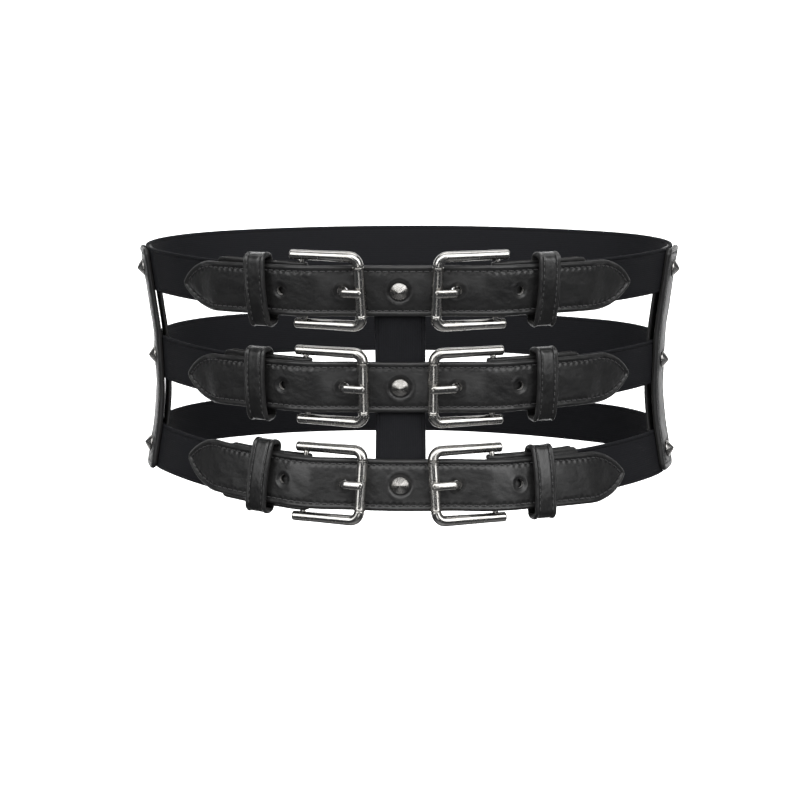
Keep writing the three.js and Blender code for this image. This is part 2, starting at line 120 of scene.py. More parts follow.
PRONG = {"width": 3.9, "thickness": 2.4, "tip": 2.2, "eye_wall": 1.3, "root": 2.4, "dip": 4.5, "over": 2.9}
STUD = {"diameter": 8.5, "height": 3.0, "post": 2.4, "cap": 6, "cap_thickness": 0.8}

BAND_IN = CHAPE["thickness"] + GAP
BAND_OUT = BAND_IN + BAND["thickness"]
FLAP_IN = BAND_OUT + GAP
FLAP_OUT = FLAP_IN + CHAPE["thickness"]
SIDE_FACE = FLAP_IN + SIDE_STRAP["thickness"]
FOLD = BUCKLE["bar"] / 2 + CHAPE["slack"] + CHAPE["thickness"] / 2
BAR_LEVEL = FOLD + CHAPE["thickness"] / 2
STRAP_CENTRE = UPRIGHT["thickness"] + GAP
STRAP_BAR = 2 * BAR_LEVEL + GAP
STRAP_FLAP = FLAP_OUT + GAP
STRAP_TIP = BAND_OUT + 2 * GAP
KEEPER_ROOF = STRAP_FLAP + STRAP["thickness"] + KEEPER["slack"] + KEEPER["thickness"]
ROLLER_LEVEL = STRAP_CENTRE + STRAP["thickness"] + GAP + ROLLER["diameter"] / 2
print("levels:", [round(level, 2) for level in (BAND_IN, FLAP_IN, STRAP_CENTRE, STRAP_FLAP, STRAP_BAR)])

# %% [markdown]
# ## The waist line
# A tape round a waist is flatter in front and behind than at the sides. It could be an ellipse, but four
# arcs that meet smoothly are as round, and the length along them is known without any summing.

# %% The waist line
WAIST = {"half_width": 125.5, "front_depth": 100, "back_depth": 84, "side_radius": 66}
side_centre = WAIST["half_width"] - WAIST["side_radius"]


def end_arc(depth):
    """The arc that touches both side circles and lies depth from the middle: radius, angle, centre."""
    r = WAIST["side_radius"]
    radius = (side_centre**2 + depth**2 - r**2) / (2 * (depth - r))
    return radius, math.atan2(side_centre, radius - depth), radius - depth


front_radius, front_angle, front_centre = end_arc(WAIST["front_depth"])
back_radius, back_angle, back_centre = end_arc(WAIST["back_depth"])
front_length = front_radius * front_angle
side_length = WAIST["side_radius"] * (math.pi - front_angle - back_angle)
half_loop = front_length + side_length + back_radius * back_angle
print("loop of", round(2 * half_loop), "mm, front arc radius", round(front_radius, 1))

# %% [markdown]
# ## Places on the waist
# Every piece is laid on the waist by three numbers: how far round it lies, how far it stands out, and
# how high. The waist also swells above and below its narrowest height. With one function of the three
# numbers a flat pattern wraps the body at once, as whole arrays, and nothing has to be bent by hand.

# %% Places on the waist
SWELL_Z = np.array([-61.0, -32, -14, 16, 33, 61])
SWELL_OUT = np.array([7.4, 2.4, 0.8, 2, 4.4, 8.2])
SWELL_BLUR = (-5, -2.5, 0, 2.5, 5)


def smoothstep(x, low, high):
    """0 below low, 1 above high, and 3t² - 2t³ between them."""
    t = np.clip((x - low) / (high - low), 0, 1)
    return t * t * (3 - 2 * t)


def straight_swell(z):
    """Straight lines between the rows of the table, carried on past its ends."""
    i = np.clip(np.searchsorted(SWELL_Z, z) - 1, 0, len(SWELL_Z) - 2)
    share = (z - SWELL_Z[i]) / (SWELL_Z[i + 1] - SWELL_Z[i])
    return SWELL_OUT[i] + share * (SWELL_OUT[i + 1] - SWELL_OUT[i])


def swell(z):
    """How far the belt stands out at a height: the mean of the table's lines over 10 mm, so that
    their corners are round."""
    return sum(straight_swell(z + step) for step in SWELL_BLUR) / len(SWELL_BLUR)


def signed_lap(arc):
    """The same place on the loop, counted from the front centre to half a loop either way."""
    return np.mod(arc + half_loop, 2 * half_loop) - half_loop


def place(arc, level, z):
    """The point at an arc length round the waist, a level out from it and a height.
    It is an arc's centre plus (radius + level + swell) along that arc's ray."""
    arc, level, z = np.broadcast_arrays(*(np.asarray(v, float) for v in (arc, level, z)))
    lap = signed_lap(arc)
    side = np.where(lap < 0, -1.0, 1.0)
    run = np.abs(lap)
    spans = [run > front_length + side_length, run > front_length]
    back_ray = math.pi - (half_loop - run) / back_radius
    side_ray = front_angle + (run - front_length) / WAIST["side_radius"]
    ray = np.select(spans, [back_ray, side_ray], run / front_radius)
    radius = np.select(spans, [back_radius, WAIST["side_radius"]], front_radius)
    centre_x = np.select(spans, [0.0, side * side_centre], 0.0)
    centre_y = np.select(spans, [-back_centre, 0.0], front_centre)
    reach = radius + level + swell(z)
    return np.stack([centre_x + side * reach * np.sin(ray), centre_y - reach * np.cos(ray), z], -1)


print("swell at the rows:", [round(float(swell(height)), 1) for height in ROWS.values()])

# %% [markdown]
# ## The lines of straps and bands
# A worn strap doesn't run level. Its tip droops or lifts by a few millimetres, the band climbs from the
# buckle to the side, and the strap steps over whatever lies under it. So each strap and band has a line
# of its own on the waist: a rise and a level that are smooth functions of the place along it.

# %% The lines of straps and bands
STEPS = {"over_bar": (22, 45), "onto_chape": (52, 65), "onto_band": (97, 109)}


def strap_stretch(row):
    """How much longer a front strap is than the waist line under it: 1 + its level / the arc's radius."""
    return 1 + (STRAP_FLAP + swell(ROWS[row])) / front_radius


def half_value(row, along, name):
    """A number of the left or the right half, by the sign of the place."""
    return np.where(np.asarray(along) < 0, HALVES[row, -1][name], HALVES[row, 1][name])


def strap_place(row, along, across, level):
    """A point on a front strap: it rises or falls towards its tip with the square of the distance."""
    rise = half_value(row, along, "tip_rise") * (along / half_value(row, along, "tip")) ** 2
    return place(along / strap_stretch(row), level, ROWS[row] + rise + across)


def band_rise(row, arc):
    """A smooth step to the half's own rise, and round the back another to the mean of both halves."""
    lap = signed_lap(arc)
    own = half_value(row, lap, "band_rise") * smoothstep(np.abs(lap), BAND["rise_from"], BAND["rise_to"])
    mean = (HALVES[row, -1]["band_rise"] + HALVES[row, 1]["band_rise"]) / 2
    return own + (mean - own) * smoothstep(np.abs(lap), front_length + side_length, half_loop)


def band_place(row, arc, across, level):
    """A point on a band: the waist's place at the row's height plus the band's rise there."""
    return place(arc, level, ROWS[row] + band_rise(row, arc) + across)


def chape_place(row, along, across, level):
    """A point on the band's line, with its length counted on the front strap."""
    return band_place(row, along / strap_stretch(row), across, level)


def strap_level(along):
    """The strap's inner face: low at the centre, up over the pivot bar, down on the chape and the band.
    Each change is a smooth step between two distances from the centre."""
    run = np.abs(along)
    level = STRAP_CENTRE + (STRAP_BAR - STRAP_CENTRE) * smoothstep(run, *STEPS["over_bar"])
    level = level + (STRAP_FLAP - STRAP_BAR) * smoothstep(run, *STEPS["onto_chape"])
    return level + (STRAP_TIP - STRAP_FLAP) * smoothstep(run, *STEPS["onto_band"])


print("a strap is", round(strap_stretch("middle"), 3), "times as long as the waist under it")

# %% [markdown]
# ## From arrays to faces
# A surface here is a table of points, rows by columns. Its faces join neighbours in the table, so one
# expression gives them all. A tube is a table whose rows are rings, and a pole closes each of its ends.

# %% From arrays to faces
def table_faces(numbers):
    """Four-sided faces between neighbouring rows and columns of a table of point numbers."""
    corners = [numbers[:-1, :-1], numbers[1:, :-1], numbers[1:, 1:], numbers[:-1, 1:]]
    return np.stack(corners, -1).reshape(-1, 4)


def fan_faces(pole, ring):
    """Triangles from a pole to a closed ring of point numbers."""
    return np.stack([np.full(len(ring), pole), ring, np.roll(ring, -1)], -1)


def ring_numbers(count, around):
    """The point numbers of rings, one ring to a row, with each ring's first number again at its end."""
    numbers = np.arange(count * around).reshape(count, around)
    return np.concatenate([numbers, numbers[:, :1]], 1)


def tube_faces(count, around):
    """A tube of rings with a pole at each end, where the two poles are numbered after the rings."""
    numbers = ring_numbers(count, around)
    first = fan_faces(count * around, numbers[0, :-1])
    last = fan_faces(count * around + 1, numbers[-1, :-1])[:, ::-1]
    return [table_faces(numbers), np.concatenate([first, last])]


print("a table of 3 by 4 points has", len(table_faces(np.arange(12).reshape(3, 4))), "faces")

# %% [markdown]
# ## Skins
# A skin is a set of points with their faces, and with what each point knows about its place on the
# leather, which the materials read later. A closed skin has a volume with a sign: where it is negative
# the faces look inwards, and they are turned.

# %% Skins
def make_skin(points, faces, strip=None, side=None):
    """strip holds (along, across, distance from the edge) in mm. side is 1 on the face and -1 on
    the lining."""
    count = len(points)
    return {
        "points": points,
        "faces": faces,
        "strip": np.zeros((count, 3)) if strip is None else strip,
        "side": np.ones(count) if side is None else side,
    }


def joined(*skins):
    """Several skins as one: their points in a row, and their face numbers moved on to match."""
    starts = np.cumsum([0] + [len(skin["points"]) for skin in skins[:-1]])
    faces = [part + start for skin, start in zip(skins, starts) for part in skin["faces"]]
    stacked = {key: np.concatenate([skin[key] for skin in skins]) for key in ("points", "strip", "side")}
    return {**stacked, "faces": faces}


def volume(points, faces):
    """The sum over the faces of the signed tetrahedra to the origin."""
    total = 0.0
    for part in faces:
        for k in range(1, part.shape[1] - 1):
            a, b, c = (points[part[:, i]] for i in (0, k, k + 1))
            total += np.einsum("ij,ij->", a, np.cross(b, c)) / 6
    return total


def outwards(skin):
    """The same skin, with the corners of its faces in reverse order if its volume is negative."""
    if volume(skin["points"], skin["faces"]) < 0:
        skin["faces"] = [part[:, ::-1] for part in skin["faces"]]
    return skin


# %% [markdown]
# ## From skins to pieces
# A piece of the belt is an object at the origin, with its place in its mesh. foreach_set hands whole
# arrays to the mesh, which is much quicker than adding points one by one. Each piece rides on the
# belt's one body and takes the place of its solid, where it has one: stitches are pieces too, but
# no solid stands for them.

# %% From skins to pieces
def make_mesh(name, skin):
    """A smooth mesh in metres: the skin's points times a thousandth, its faces and its two attributes."""
    mesh = bpy.data.meshes.new(name)
    sizes = np.concatenate([np.full(len(part), part.shape[1]) for part in skin["faces"]])
    corners = np.concatenate([part.ravel() for part in skin["faces"]]).astype(np.int32)
    mesh.vertices.add(len(skin["points"]))
    mesh.vertices.foreach_set("co", (skin["points"] * MM).astype(np.float32).ravel())
    mesh.loops.add(len(corners))
    mesh.loops.foreach_set("vertex_index", corners)
    mesh.polygons.add(len(sizes))
    mesh.polygons.foreach_set("loop_start", (np.cumsum(sizes) - sizes).astype(np.int32))
    strip = mesh.attributes.new("strip", "FLOAT_VECTOR", "POINT")
    strip.data.foreach_set("vector", skin["strip"].astype(np.float32).ravel())
    side = mesh.attributes.new("side", "FLOAT", "POINT")
    side.data.foreach_set("value", skin["side"].astype(np.float32))
    mesh.update(calc_edges=True)
    mesh.shade_smooth()
    return mesh


def make_object(name, skin, paint):
    """A skin as an object of the scene, with one finish."""
    made = bpy.data.objects.new(name, make_mesh(name, skin))
    made.data.materials.append(paint)
    bpy.context.scene.collection.objects.link(made)
    return made


def make_piece(name, skin, paint, node=None):
    """Puts a skin in the scene, on the belt's one body, in place of its solid where it has one."""
    piece = make_object(name, skin, paint)
    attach(piece, "root")
    if node:
        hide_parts(node)
    print(name, "has", len(skin["points"]), "points")
    return piece


# %% [markdown]
# ## A strip of leather as one closed skin
# A strap has a face, a lining and rounded edges. Both faces use the same table of places, and both
# come down to the middle of the leather where the distance from the edge is 0, so they share those
# points and the edge is round without any bevel. The distance also drives the relief: a bead by the
# edge, the groove of the stitching and the padded field are all functions of it.

# %% A strip of leather as one closed skin
def edge_round(distance, radius):
    """The height of a quarter circle: 0 at the edge and 1 from radius inwards."""
    return np.sqrt(1 - (1 - np.clip(distance / radius, 0, 1)) ** 2)


def two_faced(face, lining, strip, border, loop=False):
    """One skin from the points of the face and of the lining, which share those on the border.
    A loop also joins its last row of points to its first."""
    numbers = np.arange(border.size).reshape(border.shape)
    below = numbers.copy()
    below[~border] = border.size + np.arange((~border).sum())
    points = np.concatenate([face.reshape(-1, 3), lining[~border]])
    places = np.concatenate([strip.reshape(-1, 3), strip[~border]])
    side = np.concatenate([np.where(border, 0.0, 1.0).ravel(), np.full((~border).sum(), -1.0)])
    if loop:
        numbers, below = (np.concatenate([table, table[:1]]) for table in (numbers, below))
    return outwards(make_skin(points, [table_faces(numbers), table_faces(below)[:, ::-1]], places, side))


def strip_skin(along, half, shares, distance_of, lay, thickness, relief, radius=1.0):
    """along: the stations. half: the half width at each. shares: places across, from -1 to 1.
    The face lies at +thickness/2 plus the relief, the lining at -thickness/2, both times edge_round.
    Without a relief the face is as plain as the lining."""
    x = np.repeat(along[:, None], len(shares), 1)
    y = half[:, None] * shares
    border = np.zeros(x.shape, bool)
    border[[0, -1], :] = True
    border[:, [0, -1]] = True
    distance = np.where(border, 0, np.maximum(distance_of(x, y), 0))
    lift = edge_round(distance, radius)
    raised = relief(x, y, distance) if relief else 0.0
    face = lay(x, y, lift * (thickness / 2 + raised))
    lining = lay(x, y, -lift * thickness / 2)
    return two_faced(face, lining, np.stack([x, y, distance], -1), border)


# %% [markdown]
# ## Where the points of a strip lie
# The bead and the seam need points close together by the edges, and the field needs far fewer. Even
# points all over would cost several times as many faces, so the distances are crowded by a power.

# %% Where the points of a strip lie
EDGE_POINTS = 16
END_POINTS = 14


def even(low, high, step):
    """Evenly spaced values from low to high, about a step apart."""
    return np.linspace(low, high, max(2, round(abs(high - low) / step) + 1))


def crowded(near, count):
    """Distances from an edge, from 0 to near, which lie closer together by the edge."""
    return near * np.linspace(0, 1, count) ** 1.5


def edge_spaced(width, near, step):
    """Places across a strip as shares of its half width: close together within near of the edges."""
    half = width / 2
    close = crowded(near, EDGE_POINTS)
    right = np.concatenate([even(0, half - near, step)[:-1], half - close[::-1]])
    return np.concatenate([-right[:0:-1], right]) / half


def end_spaced(low, high, near, step):
    """Stations along a strip, close together by its two ends."""
    close = crowded(near, END_POINTS)
    return np.concatenate([low + close[:-1], even(low + near, high - near, step), high - close[-2::-1]])


def box_distance(low, high, half, corner):
    """The distance inwards from the outline of a strip with square ends and rounded corners."""
    middle, reach = (low + high) / 2, (high - low) / 2

    def distance(x, y):
        """The corner's radius less the distance from the box that is that much smaller."""
        dx = np.abs(x - middle) - (reach - corner)
        dy = np.abs(y) - (half - corner)
        outside = np.hypot(np.maximum(dx, 0), np.maximum(dy, 0))
        return corner - outside - np.minimum(np.maximum(dx, dy), 0)

    return distance


def rounded_half(along, half, corner):
    """The half width at each station of a strip whose corners are quarter circles."""
    near = np.clip(corner - np.minimum(along - along[0], along[-1] - along), 0, corner)
    return half - corner + np.sqrt(np.maximum(corner**2 - near**2, 0))


strap_shares = edge_spaced(STRAP["width"], near=5.5, step=0.75)
print("a front strap has", len(strap_shares), "points across")

# %% [markdown]
# ## Shader maths as plain expressions
# A finish is a small calculation at every point: masks, grains and mixes. Written as Python
# expressions it stays readable, so one class wraps a socket and turns the operators into Math nodes.

# %% Shader maths as plain expressions
class Signal:
    """A number or colour that the shader works out at each point."""

    def __init__(self, paint, socket):
        """Keeps the material that it belongs to and the node's output that it stands for."""
        self.paint = paint
        self.socket = socket

    def math(self, operation, *values):
        """One Math node that does the operation on the values."""
        return self.paint.node("Math", {"operation": operation}, dict(enumerate(values)))

    def __add__(self, other):
        """The sum of this and a signal or a number."""
        return self.math("ADD", self, other)

    def __sub__(self, other):
        """This less a signal or a number."""
        return self.math("SUBTRACT", self, other)

    def __rsub__(self, other):
        """A number less this, as in 1 - mask."""
        return self.math("SUBTRACT", other, self)

    def __mul__(self, other):
        """The product of this and a signal or a number."""
        return self.math("MULTIPLY", self, other)

    __radd__ = __add__
    __rmul__ = __mul__

    def wave(self, period, shift=0.0):
        """The sine of a whole turn for each period of this, plus a shift in radians."""
        return self.math("SINE", self * (2 * math.pi / period) + shift)

    def size(self):
        """This without its sign."""
        return self.math("ABSOLUTE", self)


# %% [markdown]
# ## A material, node by node
# Every other node comes from one method that takes the node's type, its settings and its inputs: a
# number or a colour is set on the input, and a signal is linked to it. The short methods after it
# stand for the nodes that the finishes use most.

# %% A material, node by node
class Paint:
    """A material that is built up node by node."""

    def __init__(self, name):
        """Starts with an empty tree of nodes."""
        self.material = bpy.data.materials.new(name)
        self.material.use_nodes = True
        self.tree = self.material.node_tree
        self.tree.nodes.clear()

    def node(self, kind, settings=None, inputs=None, output=0):
        """Any node: first its settings, then its inputs, each a number, a colour or a signal's link."""
        made = self.tree.nodes.new("ShaderNode" + kind)
        for key, value in (settings or {}).items():
            setattr(made, key, value)
        for key, value in (inputs or {}).items():
            if isinstance(value, Signal):
                self.tree.links.new(value.socket, made.inputs[key])
            else:
                made.inputs[key].default_value = value
        return Signal(self, made.outputs[output])

    def attribute(self, name, output="Vector"):
        """What the mesh knows at each point: its place on the strip, or its side."""
        return self.node("Attribute", {"attribute_name": name}, output=output)

    def spot(self):
        """The point's place in metres on the object, which is its place on the belt."""
        return self.node("TexCoord", output="Object")

    def parts(self, vector):
        """The three numbers of a vector."""
        return [self.node("SeparateXYZ", inputs={0: vector}, output=i) for i in range(3)]

    def scaled(self, vector, scale):
        """A vector with each of its numbers multiplied by its own scale."""
        return self.node("VectorMath", {"operation": "MULTIPLY"}, {0: vector, 1: scale})

    def noise(self, vector, scale, detail, roughness=0.5):
        """Clouds from 0 to 1, about scale of them to a unit, with finer ones added detail times."""
        inputs = {"Vector": vector, "Scale": scale, "Detail": detail, "Roughness": roughness}
        return self.node("TexNoise", inputs=inputs, output="Fac")

    def cells(self, vector, scale):
        """Distance to the nearest cell's centre, smoothed: 0 at a centre."""
        inputs = {"Vector": vector, "Scale": scale, "Smoothness": 0.35}
        return self.node("TexVoronoi", {"feature": "SMOOTH_F1"}, inputs, "Distance")

    def between(self, value, low, high):
        """0 at low, 1 at high, and a smooth step between them. Low may be the larger of the two."""
        inputs = {"Value": value, "From Min": low, "From Max": high}
        return self.node("MapRange", {"interpolation_type": "SMOOTHSTEP"}, inputs)

    def mixed(self, share, first, second):
        """The first colour where the share is 0 and the second where it is 1."""
        first, second = (v if isinstance(v, Signal) else (*v, 1) for v in (first, second))
        return self.node("Mix", {"data_type": "RGBA"}, {0: share, 6: first, 7: second}, 2)

    def bumped(self, height):
        """The normal of a height in millimetres."""
        return self.node("Bump", inputs={"Height": height, "Distance": MM, "Strength": 1.0}, output="Normal")

    def finish(self, **sockets):
        """One Principled shader. Its sockets are named with _ in place of each space."""
        inputs = {key.replace("_", " "): value for key, value in sockets.items()}
        shader = self.node("BsdfPrincipled", inputs=inputs)
        end = self.tree.nodes.new("ShaderNodeOutputMaterial")
        self.tree.links.new(shader.socket, end.inputs["Surface"])
        print("finish", self.material.name, "with", len(self.tree.nodes), "nodes")
        return self.material


# %% [markdown]
# ## Black leather
# The straps are black leather with a semi-gloss coat: a fine pebble grain, faint creases, edges
# painted black, and a dull lining. The grain reads the strip's own millimetres, so it runs with the
# leather round the bends and keeps its scale on every piece.

# %% Black leather
WORN_GREY = (0.045, 0.044, 0.043)
EDGE_BLACK = (0.006, 0.006, 0.0065)
LINING_BLACK = (0.02, 0.0195, 0.019)


def leather(name, dark, light, shine, grain, polish):
    """Height: pebbles, fine grain, creases and folds on the face, and fuzz on the lining.
    Tone: from dark to light with the grain, then greyer where the edge is worn, black on the edge's
    paint, and even on the lining. The coat lies on the face alone."""
    paint = Paint(name)
    strip = paint.attribute("strip")
    _, _, edge = paint.parts(strip)
    lining = paint.between(paint.attribute("side", "Fac"), 0.05, -0.05)
    pebble = paint.cells(strip, scale=1.5)
    fine = paint.noise(strip, scale=3.2, detail=3.0, roughness=0.6)
    crease = paint.noise(paint.scaled(strip, (0.3, 0.42, 0.0)), scale=1.0, detail=3.0, roughness=0.6)
    fold = paint.noise(paint.scaled(strip, (0.1, 0.13, 0.0)), scale=1.0, detail=2.0, roughness=0.5)
    patch = paint.noise(strip, scale=0.11, detail=3.0, roughness=0.6)
    fuzz = paint.noise(strip, scale=2.0, detail=4.0, roughness=0.7)
    rim = paint.between(edge, 0.75, 0.3)
    worn = paint.between(edge, 2.4, 0.7) * paint.between(patch, 0.45, 0.7)
    height = pebble * (-0.045 * grain) + fine * (0.025 * grain) + crease * 0.27 + fold * 1.2
    height = height * (1 - lining) + fuzz * lining * 0.12
    tone = paint.mixed(paint.between(fine + patch * 0.8, 0.6, 1.1), dark, light)
    tone = paint.mixed(worn * 0.35, tone, WORN_GREY)
    tone = paint.mixed(rim * 0.7, tone, EDGE_BLACK)
    tone = paint.mixed(lining, tone, LINING_BLACK)
    return paint.finish(
        Base_Color=tone,
        Roughness=shine + paint.between(patch, 0.3, 0.7) * 0.1 + rim * 0.12 + lining * 0.35,
        Normal=paint.bumped(height),
        Coat_Weight=(1 - lining) * polish,
        Coat_Roughness=0.26,
    )


strap_leather = leather(
    "strap_leather", (0.0062, 0.0062, 0.0066), (0.0138, 0.0136, 0.0134), shine=0.5, grain=1.0, polish=0.5
)
keeper_leather = leather(
    "keeper_leather", (0.0032, 0.0032, 0.0035), (0.007, 0.0069, 0.0067), shine=0.42, grain=0.8, polish=0.7
)

# %% [markdown]
# ## The cut core
# A punched hole shows the pale, fibrous core between face and lining. It is what makes the spare holes
# glint in the photograph, so the walls of the holes get it as a finish of their own.

# %% The cut core
FIBRE_BROWN = (0.12, 0.115, 0.11)
FIBRE_PALE = (0.5, 0.49, 0.47)


def core(name):
    """Fine noise mixes two tones of fibre, and raises the paler ones a little."""
    paint = Paint(name)
    fibre = paint.noise(paint.spot(), scale=2200.0, detail=3.0, roughness=0.7)
    tone = paint.mixed(fibre, FIBRE_BROWN, FIBRE_PALE)
    return paint.finish(Base_Color=tone, Roughness=0.7, Normal=paint.bumped(fibre * 0.08))


cut_core = core("cut_core")

# %% [markdown]
# ## Elastic
# The bands are wide woven elastic, matte and a little blue. Ribs run along it over the rubber, fine
# weft threads cross them, and a dense selvedge closes both edges. Sine waves in the strip's own
# millimetres give the weave, so no picture is needed.

# %% Elastic
SELVEDGE = 1.75
WEAVE = {"rib": 1.05, "weft": 0.62, "twill": 0.9, "twill_slope": 1.7}
YARN_DARK = (0.009, 0.0094, 0.0115)
YARN_LIGHT = (0.0185, 0.019, 0.0225)
WEAVE_PAINTED_SHADE = (0.004, 0.004, 0.005)
CHANNEL_PAINTED_SHADE = (0.006, 0.006, 0.007)


def elastic(name):
    """Ribs are a wave across the strip and weft a wave along it, both pushed about by noise.
    The selvedge has a slanted wave instead, and a channel of its own depth divides it from the field.
    The low places of the weave and the channel are mixed towards near-black, as painted shade."""
    paint = Paint(name)
    strip = paint.attribute("strip")
    x, y, edge = paint.parts(strip)
    wobble = paint.noise(strip, scale=0.5, detail=2.0) * 0.9
    ribs = y.wave(WEAVE["rib"], wobble)
    weft = x.wave(WEAVE["weft"], wobble + ribs * 0.9)
    twill = (x + y * WEAVE["twill_slope"]).wave(WEAVE["twill"])
    selvedge = paint.between(edge, SELVEDGE + 0.15, SELVEDGE - 0.25)
    channel = paint.between((edge - SELVEDGE).size(), 0.4, 0.05)
    field = ribs * 0.022 + weft * 0.02
    fluff = paint.noise(strip, scale=4.0, detail=3.0, roughness=0.7)
    height = field * (1 - selvedge) + (twill * 0.03 + 0.06) * selvedge + fluff * 0.03 - channel * 0.12
    tone = paint.mixed(fluff, YARN_DARK, YARN_LIGHT)
    # Painted shade: the low places of the weave are mixed towards near-black.
    tone = paint.mixed((1 - paint.between(field, -0.04, 0.04)) * 0.35, tone, WEAVE_PAINTED_SHADE)
    # Painted shade: the channel beside the selvedge is mixed towards black.
    tone = paint.mixed(channel * 0.6, tone, CHANNEL_PAINTED_SHADE)
    return paint.finish(
        Base_Color=tone,
        Roughness=0.72 + fluff * 0.18,
        Normal=paint.bumped(height),
        Specular_IOR_Level=0.22,
    )


band_elastic = elastic("band_elastic")

# %% [markdown]
# ## Polished nickel
# The buckles are plated wire, polished but handled: clear reflections, broken a little by fine
# scratches, by a slow waviness that the polishing wheel leaves, and by faint smudges. The studs are
# turned on a lathe, so fine rings run round them and spread each reflection into a wedge.

# %% Polished nickel
SMUDGE_SHARES = (0.86, 0.85, 0.83)
PIT_GREY = (0.2, 0.19, 0.18)
LATHE_PITCH = 0.17


def nickel(name, tint, gloss, turned_lines=0.0):
    """Tint and roughness change with smudges, pits and scratches. The height is a slow wave plus the
    scratches, and on turned pieces a wave over the distance from their axis."""
    paint = Paint(name)
    spot = paint.spot()
    smudge = paint.noise(spot, scale=140.0, detail=3.0, roughness=0.6)
    scratch = paint.noise(paint.scaled(spot, (2600.0, 380.0, 900.0)), scale=1.0, detail=2.0, roughness=0.6)
    wave = paint.noise(spot, scale=260.0, detail=1.0, roughness=0.4)
    pit = paint.noise(spot, scale=1500.0, detail=2.0, roughness=0.7)
    smudged = [part * share for part, share in zip(tint, SMUDGE_SHARES)]
    tone = paint.mixed(paint.between(smudge, 0.35, 0.7), tint, smudged)
    tone = paint.mixed(paint.between(pit, 0.66, 0.74) * 0.35, tone, PIT_GREY)
    roughness = gloss + paint.between(smudge, 0.45, 0.75) * 0.1 + paint.between(scratch, 0.6, 0.75) * 0.08
    height = wave * 0.05 + scratch * 0.0015
    if turned_lines:
        radius, _, _ = paint.parts(paint.attribute("strip"))
        height = height + radius.wave(LATHE_PITCH) * turned_lines
    return paint.finish(Base_Color=tone, Roughness=roughness, Metallic=1.0, Normal=paint.bumped(height))


polished = nickel("polished_nickel", (0.56, 0.55, 0.53), gloss=0.215)
spun = nickel("spun_nickel", (0.5, 0.49, 0.475), gloss=0.2, turned_lines=0.009)

# %% [markdown]
# ## Thread
# The stitches are waxed black thread, twisted from two plies. A slanted wave round each stitch shows
# the twist, in the bump and as a painted highlight on each ply.

# %% Thread
THREAD_DARK = (0.018, 0.018, 0.018)
PLY_PAINTED_HIGHLIGHT = (0.12, 0.12, 0.122)
PLIES = 2


def thread(name):
    """A wave for each ply round the thread, which turns on along it, drives tone, shine and height.
    Its tone is lighter on each ply's crest, as a painted highlight.
    """
    paint = Paint(name)
    along, turn, _ = paint.parts(paint.attribute("strip"))
    plies = turn.wave(1 / PLIES, along * 7.0)
    # Painted highlight: each ply's crest is lighter, and the grooves between plies are darker.
    tone = paint.mixed(paint.between(plies, -0.8, 0.8), THREAD_DARK, PLY_PAINTED_HIGHLIGHT)
    return paint.finish(Base_Color=tone, Roughness=0.5 - plies * 0.08, Normal=paint.bumped(plies * 0.04))


waxed_thread = thread("waxed_thread")

# %% [markdown]
# ## Stitches
# One short capsule with its ends pushed into the leather stands for a stitch, and it is copied along
# each seam by adding one row of numbers to another: places, directions and the capsule's own points.

# %% Stitches
STITCH = {"pitch": 3.3, "length": 2.5, "radius": 0.32, "inset": 2.9}
RING_SHARES = (-0.46, -0.28, 0.0, 0.28, 0.46)
RING_POINTS = 6


def unit(vectors):
    """Vectors divided by their lengths."""
    return vectors / np.linalg.norm(vectors, axis=-1, keepdims=True)


def run_along(line):
    """The length along a line of points, from 0 at its first."""
    return np.concatenate([[0], np.cumsum(np.linalg.norm(np.diff(line, axis=0), axis=1))])


def capsule():
    """Rings of a thread one unit long, as (share along, turn, radius share), closed by two poles.
    The radius share falls off towards the ends as the root of 1 less the eighth power."""
    turns = np.arange(RING_POINTS) / RING_POINTS
    share, turn = (v.ravel() for v in np.meshgrid(RING_SHARES, turns, indexing="ij"))
    rings = np.stack([share, turn, np.sqrt(1 - (2 * share) ** 8)], -1)
    poles = [[-0.5, 0, 0], [0.5, 0, 0]]
    return np.concatenate([rings, poles]), tube_faces(len(RING_SHARES), RING_POINTS)


def stitches(lay, starts, ends, level):
    """Threads from starts to ends, as (along, across) pairs on the strip, at a level above its middle.
    Each point is the thread's middle, plus its share along, plus the capsule's round section."""
    rows, faces = capsule()
    a, b = (lay(p[:, 0], p[:, 1], level) for p in (starts, ends))
    middle = ((starts + ends) / 2).T
    run = b - a
    length = np.linalg.norm(run, axis=1)
    ahead = unit(run)
    across = unit(np.cross(lay(*middle, level + 1.0) - lay(*middle, level), ahead))
    up = np.cross(ahead, across)
    share, turn, width = rows.T
    pushed_in = 0.9 * STITCH["radius"] * (2 * share) ** 4
    lift = STITCH["radius"] * width * np.sin(2 * math.pi * turn) - pushed_in
    slide = STITCH["radius"] * width * np.cos(2 * math.pi * turn)
    points = ((a + b) / 2)[:, None] + run[:, None] * share[:, None]
    points = points + across[:, None] * slide[:, None] + up[:, None] * lift[:, None]
    shift = (np.arange(len(a)) * len(rows))[:, None, None]
    all_faces = [(part[None] + shift).reshape(-1, part.shape[1]) for part in faces]
    strip = np.stack(np.broadcast_arrays(length[:, None] * share, turn[None], 0.0), -1)
    return outwards(make_skin(points.reshape(-1, 3), all_faces, strip.reshape(-1, 3)))


def seam(lay, line, level, pitch=STITCH["pitch"], length=STITCH["length"]):
    """Stitches about a pitch apart along a line of (along, across) points, a whole number of them."""
    run = run_along(line)
    count = max(1, round(run[-1] / pitch))
    centres = (np.arange(count) + 0.5) * run[-1] / count
    tips = [centres + share * length for share in (-0.5, 0.5)]
    starts, ends = (np.stack([np.interp(at, run, line[:, i]) for i in (0, 1)], -1) for at in tips)
    return stitches(lay, starts, ends, level)


print("a stitch has", len(capsule()[0]), "points")

